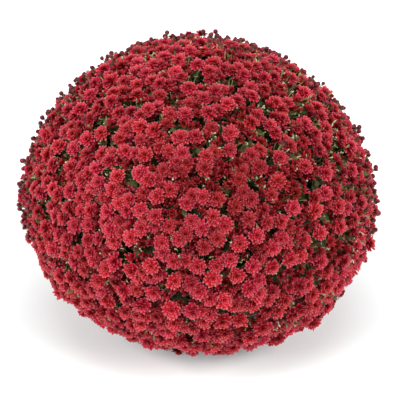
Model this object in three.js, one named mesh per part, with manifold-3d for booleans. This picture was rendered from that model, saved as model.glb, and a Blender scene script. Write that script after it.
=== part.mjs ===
// Potted garden chrysanthemum, millimetres, +Z up.
// Origin: floor level under the middle of the pot. The front is -Y.
// A plain nursery pot holds potting mix, a woody crown stands in the mix, nine
// branches fork over the rim, and each fork carries one flowering spray. The
// sprays close up into a ball-shaped dome that hides the pot from above.
import * as THREE from 'three';
import { ConvexGeometry } from 'three/addons/geometries/ConvexGeometry.js';
import { mergeVertices } from 'three/addons/utils/BufferGeometryUtils.js';
import Module from 'manifold-3d';

// ---- driving dimensions ----------------------------------------------------
const DOME_RADIUS = 298;       // half the width of the dome of blooms
const DOME_UP = 0.914;         // upper half-height over the radius
const DOME_DOWN = 0.807;       // lower half-height over the radius
const DOME_MID_Z = 240;        // height of the widest level above the floor
const SKIRT_Z = 30;            // lowest edge of the skirt of blooms
const SPRAY_COUNT = 36;        // flowering sprays, four to a branch
const SPRAY_GAP = 4.4;         // clear slot between two sprays
const SPRAY_INNER = 0.86;      // bloom layer's inner face over the dome radius
const APEX_HIGH = 0.62;        // where a spray meets its fork, upper sprays
const APEX_LOW = 0.73;         // the same, sprays of the skirt
const APEX_POLAR_MAX = 112;    // degrees from the top; keeps forks above the rim
const APEX_CLEAR = 0.06;       // sine of the angle kept from the next spray's cone
const SIDE_BRANCHES = 8;

const POT_BASE_R = 95;
const POT_RIM_R = 134;
const POT_H = 160;
const POT_WALL = 2.4;
const POT_FLOOR = 3;
const FOOT_H = 3;              // height of the foot ring under the base
const FOOT_IN_R = 83;
const RIM_BAND = 20;           // height of the thicker band at the rim
const DRAIN_HOLES = 8;
const DRAIN_R = 5;
const DRAIN_PCR = 68;
const SOIL_TOP = 140;
const CROWN_R = 25;
const CROWN_TOP = 166;
const CROWN_SUNK = 14;         // depth of the crown's foot in the mix
const GAP = 0.3;               // gap between pieces that touch

const STEM_R0 = 6.2;           // branch radius at the crown
const STEM_R1 = 4.6;           // branch radius where it forks
const FORK_R0 = 3.4;
const FORK_R1 = 2.4;

const wasm = await Module();
wasm.setup();

// ---- small helpers ---------------------------------------------------------
const rad = THREE.MathUtils.degToRad;
const V = (x, y, z) => new THREE.Vector3(x, y, z);

let seed = 90210;
function rnd() {
  seed = (Math.imul(seed, 1664525) + 1013904223) >>> 0;
  return seed / 4294967296;
}

function bare(geometry, tol = 1e-3) {
  const g = geometry.clone();
  for (const k of Object.keys(g.attributes)) if (k !== 'position') g.deleteAttribute(k);
  return mergeVertices(g, tol);
}

function solid(geometry) {
  const g = bare(geometry);
  return new wasm.Manifold(new wasm.Mesh({
    numProp: 3,
    vertProperties: new Float32Array(g.attributes.position.array),
    triVerts: new Uint32Array(g.index.array),
  }));
}

function geometryOf(manifold) {
  const m = manifold.getMesh();
  const g = new THREE.BufferGeometry();
  const pos = new Float32Array(m.numVert * 3);
  for (let i = 0; i < m.numVert; i++)
    for (let k = 0; k < 3; k++) pos[3 * i + k] = m.vertProperties[m.numProp * i + k];
  g.setAttribute('position', new THREE.BufferAttribute(pos, 3));
  g.setIndex(new THREE.BufferAttribute(new Uint32Array(m.triVerts), 1));
  return bare(g);
}

// a round bar bent along a curve, with its own radius at each end
function bar(curve, r0, r1, sides, steps) {
  const g = new THREE.CylinderGeometry(1, 1, 1, sides, steps);
  const p = g.attributes.position;
  const frames = curve.computeFrenetFrames(steps, false);
  for (let i = 0; i < p.count; i++) {
    const t = Math.min(1, Math.max(0, p.getY(i) + 0.5));
    const k = Math.round(t * steps);
    const r = r0 + (r1 - r0) * t;
    const c = curve.getPointAt(t);
    c.addScaledVector(frames.normals[k], -p.getX(i) * r);
    c.addScaledVector(frames.binormals[k], p.getZ(i) * r);
    p.setXYZ(i, c.x, c.y, c.z);
  }
  const s = bare(g);
  // the bent bar may have turned inside out: its volume tells
  const a = s.attributes.position, ix = s.index.array;
  let vol = 0;
  const A = V(0, 0, 0), B = V(0, 0, 0), C = V(0, 0, 0);
  for (let i = 0; i < ix.length; i += 3) {
    A.fromBufferAttribute(a, ix[i]); B.fromBufferAttribute(a, ix[i + 1]); C.fromBufferAttribute(a, ix[i + 2]);
    vol += A.dot(B.cross(C));
  }
  if (vol < 0) for (let i = 0; i < ix.length; i += 3) { const t = ix[i]; ix[i] = ix[i + 1]; ix[i + 1] = t; }
  return s;
}

// ---- the dome --------------------------------------------------------------
// low swells of the outline: direction, height over the radius, spread in degrees
const SWELLS = [
  [V(0.71, 0.33, 0.62), -0.022, 15], [V(-0.17, 0.46, 0.87), 0.016, 20],
  [V(-0.99, 0.05, 0.09), 0.014, 18], [V(-0.84, -0.26, -0.48), -0.013, 24],
  [V(0.70, -0.34, -0.63), 0.022, 15], [V(0.45, -0.80, 0.20), 0.010, 22],
  [V(-0.42, -0.62, 0.66), -0.010, 24], [V(0.30, 0.92, 0.05), -0.012, 26],
  [V(-0.60, 0.78, -0.15), 0.012, 24], [V(0.86, 0.48, -0.20), 0.010, 22],
];
for (const s of SWELLS) s[0].normalize();

function swell(u) {
  let f = 1;
  for (const [d, h, w] of SWELLS) {
    const a = Math.acos(Math.min(1, Math.max(-1, u.dot(d)))) / rad(w);
    f += h * Math.exp(-0.5 * a * a);
  }
  return f;
}

const shift = V(0, 0, 0);
function domePoint(u, s) {
  const k = s * DOME_RADIUS * swell(u);
  return V(k * u.x + shift.x, k * u.y + shift.y,
    DOME_MID_Z + k * u.z * (u.z > 0 ? DOME_UP : DOME_DOWN));
}

const SKIRT_U = (SKIRT_Z - DOME_MID_Z) / (DOME_DOWN * DOME_RADIUS);

// spray centres: a crown ring of four, then three staggered rings, spread evenly
// over the dome by moving each centre to the middle of its own region
const centres = [];
for (const [n, polar, off] of [[4, 24, 45], [9, 60, 10], [12, 93, 0], [11, 127, 16]])
  for (let i = 0; i < n; i++) {
    const a = rad(off + (360 * i) / n + 6 * (rnd() - 0.5)), p = rad(polar + 4 * (rnd() - 0.5));
    centres.push(V(Math.sin(p) * Math.cos(a), Math.sin(p) * Math.sin(a), Math.cos(p)));
  }
const probes = [];
for (let i = 0; i < 4000; i++) {
  const z = 1 - (2 * (i + 0.5)) / 4000, r = Math.sqrt(1 - z * z), a = i * 2.399963229728653;
  if (z > SKIRT_U) probes.push(V(r * Math.cos(a), r * Math.sin(a), z));
}
for (let pass = 0; pass < 12; pass++) {
  const sums = centres.map(() => V(0, 0, 0));
  for (const q of probes) {
    let best = 0, bd = -2;
    centres.forEach((c, j) => { const d = c.dot(q); if (d > bd) { bd = d; best = j; } });
    sums[best].add(q);
  }
  sums.forEach((s, j) => centres[j].lerp(s.normalize(), 0.6).normalize());
}

// four top sprays sit on the middle branch; the others go to the side branches,
// four to a branch, taken in order round the plant
const top = centres.filter((c) => c.z > 0.8).slice(0, 4);
const rest = centres.filter((c) => !top.includes(c));
rest.sort((a, b) => Math.atan2(a.y, a.x) - Math.atan2(b.y, b.x));
const groups = [top];
for (let i = 0; i < SIDE_BRANCHES; i++) groups.push(rest.slice(4 * i, 4 * i + 4));
const ordered = groups.flat();

const SIDES = 20;
function sprayPoints(i) {
  const c = ordered[i];
  const t1 = new THREE.Vector3().crossVectors(Math.abs(c.z) > 0.9 ? V(1, 0, 0) : V(0, 0, 1), c).normalize();
  const t2 = new THREE.Vector3().crossVectors(c, t1);
  const pts = [];
  const edge = [];
  for (let k = 0; k < SIDES; k++) {
    const a = (2 * Math.PI * (k + 0.5)) / SIDES;
    const w = t1.clone().multiplyScalar(Math.cos(a)).addScaledVector(t2, Math.sin(a));
    let reach = rad(34);
    ordered.forEach((d, j) => {
      if (j === i) return;
      const wd = w.dot(d);
      if (wd > 1e-6) reach = Math.min(reach, Math.atan2(1 - c.dot(d), wd));
    });
    reach -= SPRAY_GAP / 2 / DOME_RADIUS;
    const at = (r) => c.clone().multiplyScalar(Math.cos(r)).addScaledVector(w, Math.sin(r));
    while (at(reach).z < SKIRT_U && reach > 0.02) reach -= 0.002;
    edge.push(at(reach));
    // the layer thins towards the skirt's edge, which leaves room for a hand
    const thin = 0.055 * THREE.MathUtils.smoothstep(-at(reach).z, 0.45, 0.85);
    pts.push(domePoint(at(reach), 0.985), domePoint(at(reach), SPRAY_INNER + thin));
    pts.push(domePoint(at(reach * 0.72), 0.996));
    if (k % 2 === 0) pts.push(domePoint(at(reach * 0.38), 1.0));
  }
  pts.push(domePoint(c, 1.0));
  // the apex, where the fork arrives: a small flat facing the fork
  const polar = Math.acos(c.z), low = THREE.MathUtils.smoothstep(polar, rad(80), rad(APEX_POLAR_MAX));
  const az = Math.atan2(c.y, c.x);
  let pa = Math.min(polar, rad(APEX_POLAR_MAX));
  const ua = V(0, 0, 0);
  for (;;) {
    ua.set(Math.sin(pa) * Math.cos(az), Math.sin(pa) * Math.sin(az), Math.cos(pa));
    const clear = Math.min(...ordered.map((d, j) => (j === i ? 9
      : (ua.dot(c) - ua.dot(d)) / c.distanceTo(d))));
    if (clear > APEX_CLEAR || pa >= polar) break;
    pa = Math.min(polar, pa + rad(0.5));
  }
  const apex = domePoint(ua, APEX_HIGH + (APEX_LOW - APEX_HIGH) * low);
  const axis = domePoint(c, 1).sub(apex).normalize();
  const n1 = new THREE.Vector3().crossVectors(Math.abs(axis.z) > 0.9 ? V(1, 0, 0) : V(0, 0, 1), axis).normalize();
  const n2 = new THREE.Vector3().crossVectors(axis, n1);
  for (let k = 0; k < 8; k++) {
    const a = (2 * Math.PI * k) / 8;
    pts.push(apex.clone().addScaledVector(n1, 6 * Math.cos(a)).addScaledVector(n2, 6 * Math.sin(a)));
  }
  return { pts, apex, axis };
}

// centre the dome's own box over the pot
{
  const box = new THREE.Box3();
  for (let i = 0; i < ordered.length; i++) for (const p of sprayPoints(i).pts) box.expandByPoint(p);
  shift.set(-(box.min.x + box.max.x) / 2, -(box.min.y + box.max.y) / 2, 0);
}

// ---- pot, potting mix, crown -----------------------------------------------
function lathe(profile, sides) {
  return new THREE.LatheGeometry(profile.map(([r, z]) => new THREE.Vector2(r, z)), sides);
}
// a lathe turns about Y, so it is stood up on Z
const stand = (g) => g.rotateX(Math.PI / 2);

const rimZ = POT_H - RIM_BAND;
const wallR = (z) => POT_BASE_R + 2 + ((POT_RIM_R - 4 - POT_BASE_R - 2) * (z - 4)) / (rimZ - 4);
const potProfile = [
  [0, FOOT_H], [FOOT_IN_R, FOOT_H], [FOOT_IN_R + 1.5, 0], [POT_BASE_R, 0], [wallR(4), 4],
  [wallR(rimZ), rimZ], [POT_RIM_R - 1.6, rimZ + 2], [POT_RIM_R, POT_H - 1.4],
  [POT_RIM_R - 1, POT_H], [POT_RIM_R - 3.4, POT_H],
  [POT_RIM_R - 4.6, rimZ + 3], [wallR(rimZ) - POT_WALL, rimZ - 1],
  [wallR(8) - POT_WALL, 8], [wallR(6) - POT_WALL - 2, FOOT_H + POT_FLOOR], [0, FOOT_H + POT_FLOOR],
];
let pot = solid(stand(lathe(potProfile, 48)));
for (let i = 0; i < DRAIN_HOLES; i++) {
  const a = (2 * Math.PI * (i + 0.5)) / DRAIN_HOLES;
  const hole = new THREE.CylinderGeometry(DRAIN_R, DRAIN_R, 20, 12);
  hole.rotateX(Math.PI / 2).translate(DRAIN_PCR * Math.cos(a), DRAIN_PCR * Math.sin(a), 4);
  pot = pot.subtract(solid(hole));
}
const potGeometry = geometryOf(pot);

const soilFloor = FOOT_H + POT_FLOOR + GAP;
const crownFoot = SOIL_TOP - CROWN_SUNK;
const soilProfile = [
  [0, soilFloor], [wallR(6) - POT_WALL - 2 - GAP - 0.4, soilFloor], [wallR(8) - POT_WALL - GAP - 0.2, 8 + GAP],
  [wallR(rimZ - 1) - POT_WALL - GAP - 0.3, rimZ - 2], [wallR(rimZ) - POT_WALL - GAP - 0.5, SOIL_TOP - 1],
  [wallR(rimZ) - POT_WALL - 4, SOIL_TOP], [72, SOIL_TOP + 0.9], [CROWN_R + GAP + 0.6, SOIL_TOP],
  [CROWN_R - 4 + GAP + 0.6, crownFoot - GAP], [0, crownFoot - GAP],
];
const soilGeometry = bare(stand(lathe(soilProfile, 36)));

const crownProfile = [
  [0, crownFoot], [CROWN_R - 4, crownFoot], [CROWN_R, SOIL_TOP], [CROWN_R - 1, SOIL_TOP + 10],
  [CROWN_R - 7, CROWN_TOP - 5], [CROWN_R - 15, CROWN_TOP], [0, CROWN_TOP + 1],
];
const crownGeometry = bare(stand(lathe(crownProfile, 16)));
const crownGrown = solid(stand(lathe(crownProfile.map(([r, z]) => [
  r > 0 ? r + 0.7 : 0, z < SOIL_TOP ? z - 1 : z + 0.6]), 16)));

// ---- sprays and the branches that carry them --------------------------------
const sprays = [];
for (let i = 0; i < ordered.length; i++) {
  const { pts, apex, axis } = sprayPoints(i);
  sprays.push({ geometry: bare(new ConvexGeometry(pts), 1e-2), apex, axis });
}

const branches = [];
groups.forEach((group, b) => {
  const mine = sprays.slice(4 * b, 4 * b + 4);
  const mean = V(0, 0, 0);
  for (const s of mine) mean.add(s.apex);
  mean.multiplyScalar(0.25);
  const az = Math.atan2(mean.y, mean.x);
  const out = V(Math.cos(az), Math.sin(az), 0);
  let start, node, stem;
  if (b === 0) {
    start = V(0, 0, CROWN_TOP - 8);
    node = V(mean.x * 0.3, mean.y * 0.3, 262);
    stem = new THREE.CatmullRomCurve3([start, V(1.5, -2, 200), V(-2, 1, 232), node]);
  } else {
    start = out.clone().multiplyScalar(CROWN_R - 10).setZ(SOIL_TOP + 15);
    node = out.clone().multiplyScalar(106 + 6 * (b % 2)).setZ(222 + 5 * (b % 3));
    const side = V(-out.y, out.x, 0);
    const a1 = out.clone().multiplyScalar(46).setZ(SOIL_TOP + 38).addScaledVector(side, b % 2 ? 3 : -3);
    const a2 = out.clone().multiplyScalar(78).setZ(SOIL_TOP + 62).addScaledVector(side, b % 2 ? 2 : -2);
    stem = new THREE.CatmullRomCurve3([start, a1, a2, node]);
  }
  let body = solid(bar(stem, STEM_R0, STEM_R1, 8, 6));
  const dir = stem.getTangentAt(1);
  for (const s of mine) {
    const end = s.apex.clone().addScaledVector(s.axis, -(GAP + 0.1));
    const span = end.distanceTo(node);
    const root = node.clone().addScaledVector(dir, -9);
    const lead = end.clone().addScaledVector(s.axis, -0.28 * span);
    const from = node.clone().addScaledVector(dir, 0.12 * span);
    const fork = new THREE.CatmullRomCurve3([root, from.lerp(node, 0.3), lead, end]);
    body = body.add(solid(bar(fork, FORK_R0, FORK_R1, 6, 5)));
  }
  body = body.subtract(crownGrown);
  branches.push(geometryOf(body));
});

// ---- leaves on the inner stems ----------------------------------------------
// one loose tuft in each of the eight spaces between two side branches
const tufts = [];
for (let i = 0; i < SIDE_BRANCHES; i++) {
  const a0 = groups[1 + i].reduce((s, c) => s.add(c), V(0, 0, 0));
  const a1 = groups[1 + ((i + 1) % SIDE_BRANCHES)].reduce((s, c) => s.add(c), V(0, 0, 0));
  const d = V(a0.x, a0.y, 0).normalize().add(V(a1.x, a1.y, 0).normalize()).normalize();
  const g = new THREE.SphereGeometry(1, 10, 7);
  g.scale(34, 19, 24);
  g.rotateY(rad(-16));
  g.rotateZ(Math.atan2(d.y, d.x));
  g.translate(d.x * 112, d.y * 112, 214);
  tufts.push(bare(g, 1e-2));
}

// ---- the scene graph ---------------------------------------------------------
const finish = (color, roughness, metalness = 0) => new THREE.MeshStandardMaterial({ color, roughness, metalness });
const plant = new THREE.Group();
function put(name, geometry, material) {
  const mesh = new THREE.Mesh(geometry, material);
  mesh.name = name;
  plant.add(mesh);
}
const two = (n) => String(n).padStart(2, '0');

put('pot', potGeometry, finish(0x2b2a28, 0.6));
put('potting_mix', soilGeometry, finish(0x2e2118, 0.95));
put('crown', crownGeometry, finish(0x6b5a3c, 0.85));
branches.forEach((g, i) => put(`branch_${two(i + 1)}`, g, finish(0x6f7a3a, 0.7)));
tufts.forEach((g, i) => put(`inner_leaves_${two(i + 1)}`, g, finish(0x3b4f22, 0.7)));
sprays.forEach((s, i) => put(`spray_${two(i + 1)}`, s.geometry, finish(0x9a262c, 0.6)));

export default plant;
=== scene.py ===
# Potted garden chrysanthemum: the visual model, in metres, in the frame of the
# packed construction. The dome of blooms is made petal by petal, leaf by leaf
# and stalk by stalk, from seeded numbers, so every run gives the same plant.
import bpy, math
import numpy as np
from mathutils import Vector, Matrix


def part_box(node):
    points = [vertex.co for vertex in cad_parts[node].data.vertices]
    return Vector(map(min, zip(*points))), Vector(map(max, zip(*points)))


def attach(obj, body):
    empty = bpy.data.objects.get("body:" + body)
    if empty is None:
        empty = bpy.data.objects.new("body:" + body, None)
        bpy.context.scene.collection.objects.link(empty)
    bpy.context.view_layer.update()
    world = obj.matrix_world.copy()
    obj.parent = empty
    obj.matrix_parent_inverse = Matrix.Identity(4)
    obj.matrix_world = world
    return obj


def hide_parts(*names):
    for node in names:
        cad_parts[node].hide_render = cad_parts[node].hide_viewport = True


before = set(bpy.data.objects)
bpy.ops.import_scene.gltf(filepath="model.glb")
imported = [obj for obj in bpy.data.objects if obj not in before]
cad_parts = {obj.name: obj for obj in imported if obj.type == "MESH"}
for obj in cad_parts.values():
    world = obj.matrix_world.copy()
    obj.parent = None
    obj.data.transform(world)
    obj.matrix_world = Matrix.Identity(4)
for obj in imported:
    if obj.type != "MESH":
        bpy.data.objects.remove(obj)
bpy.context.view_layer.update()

MM = 0.001
UV = "OFBake"

# ------------------------------------------------------------------ the dome
DOME_R, DOME_UP, DOME_DOWN, MID_Z, SKIRT_Z = 298.0, 0.914, 0.807, 240.0, 30.0
SKIRT_U = (SKIRT_Z - MID_Z) / (DOME_DOWN * DOME_R)
SWELLS = [
    ((0.71, 0.33, 0.62), -0.022, 15), ((-0.17, 0.46, 0.87), 0.016, 20),
    ((-0.99, 0.05, 0.09), 0.014, 18), ((-0.84, -0.26, -0.48), -0.013, 24),
    ((0.70, -0.34, -0.63), 0.022, 15), ((0.45, -0.80, 0.20), 0.010, 22),
    ((-0.42, -0.62, 0.66), -0.010, 24), ((0.30, 0.92, 0.05), -0.012, 26),
    ((-0.60, 0.78, -0.15), 0.012, 24), ((0.86, 0.48, -0.20), 0.010, 22),
]
# the sprays, as in the construction: (centre direction, where the fork ends, its direction)
SHIFT = [0.8,1,0]
SPRAYS = [
    ([0.2779,0.2894,0.916], [52.2,54.7,395.1], [0.2993,0.3118,0.9018]),
    ([-0.3147,0.3164,0.8949], [-58.1,60.2,393.1], [-0.3378,0.3395,0.8778]),
    ([-0.2968,-0.2897,0.9099], [-53.8,-52.2,393], [-0.3194,-0.3117,0.8949]),
    ([0.3073,-0.2978,0.9038], [57.5,-54,392.6], [0.3303,-0.3201,0.8879]),
    ([-0.9986,-0.0059,-0.0529], [-197,-0.1,231.5], [-0.9991,-0.0059,-0.0427]),
    ([-0.8693,-0.4893,-0.0697], [-170.5,-95.4,228.9], [-0.8701,-0.4897,-0.0563]),
    ([-0.7503,-0.4336,0.499], [-137.1,-78.6,323.8], [-0.7662,-0.4427,0.4657]),
    ([-0.651,-0.4293,-0.6261], [-162.1,-106.4,166.6], [-0.3499,-0.2308,-0.9079]),
    ([-0.5096,-0.8571,-0.0756], [-100.1,-168.6,227.9], [-0.5101,-0.8579,-0.0611]),
    ([-0.2872,-0.6948,-0.6594], [-74.1,-180,164.6], [-0.1207,-0.292,-0.9488]),
    ([-0.2956,-0.8018,0.5194], [-53.4,-146,327.1], [-0.3024,-0.8202,0.4856]),
    ([0.0016,-0.9989,-0.046], [1.1,-195.3,232.7], [0.0016,-0.9993,-0.0371]),
    ([0.1343,-0.7772,-0.6148], [34.9,-196.6,171.3], [0.0681,-0.3942,-0.9165]),
    ([0.2608,-0.7978,0.5436], [49.1,-146.9,332.1], [0.2673,-0.8179,0.5094]),
    ([0.5096,-0.8599,-0.0301], [100.8,-167.8,235.2], [0.5097,-0.86,-0.0243]),
    ([0.5114,-0.5813,-0.6329], [134.1,-150.5,170.9], [0.2304,-0.2619,-0.9372]),
    ([0.7522,-0.4489,0.4824], [140.2,-82.2,321.7], [0.767,-0.4578,0.4496]),
    ([0.8598,-0.4965,-0.119], [175.7,-100,220.5], [0.862,-0.4977,-0.0963]),
    ([0.715,-0.1977,-0.6705], [192.7,-52,163.4], [0.2768,-0.0765,-0.9579]),
    ([0.9995,-0.0294,-0.0083], [194.3,-4.7,238.7], [0.9995,-0.0294,-0.0067]),
    ([0.8067,0.1352,0.5752], [147.6,25.7,335.7], [0.8296,0.1391,0.5407]),
    ([0.8011,0.2081,-0.5612], [197.4,52.1,173.8], [0.526,0.1366,-0.8394]),
    ([0.8745,0.4839,-0.0328], [172.2,95.9,234.8], [0.8746,0.484,-0.0265]),
    ([0.5127,0.5358,-0.6709], [137.4,143.8,165.6], [0.1814,0.1895,-0.965]),
    ([0.5633,0.6642,0.4915], [103.7,122.5,322.1], [0.5748,0.6778,0.4584]),
    ([0.5034,0.8612,-0.0704], [99.9,170.6,228.8], [0.5038,0.8619,-0.0569]),
    ([0.1392,0.7954,-0.5899], [35.4,198.8,174.5], [0.0793,0.4529,-0.888]),
    ([0.012,0.8183,0.5746], [3,152.5,337.2], [0.0123,0.8415,0.5401]),
    ([-0.003,1,-0.0093], [0.2,193,238.6], [-0.003,1,-0.0075]),
    ([-0.2767,0.6869,-0.672], [-71.7,180.9,158.5], [-0.12,0.2978,-0.947]),
    ([-0.4825,0.8689,-0.1102], [-97.4,177.8,221.9], [-0.4836,0.8708,-0.0891]),
    ([-0.5604,0.684,0.4671], [-103.4,128.2,319.4], [-0.5707,0.6966,0.4348]),
    ([-0.6516,0.4393,-0.6184], [-165.7,113.3,169.6], [-0.3284,0.2214,-0.9182]),
    ([-0.8684,0.4943,-0.0399], [-170.8,98.7,233.6], [-0.8686,0.4944,-0.0322]),
    ([-0.8289,0.1307,0.5438], [-153,25.3,332.2], [-0.8499,0.134,0.5096]),
    ([-0.7686,0.0061,-0.6397], [-195.2,2.6,166.2], [-0.3677,0.0029,-0.93]),
]
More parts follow.
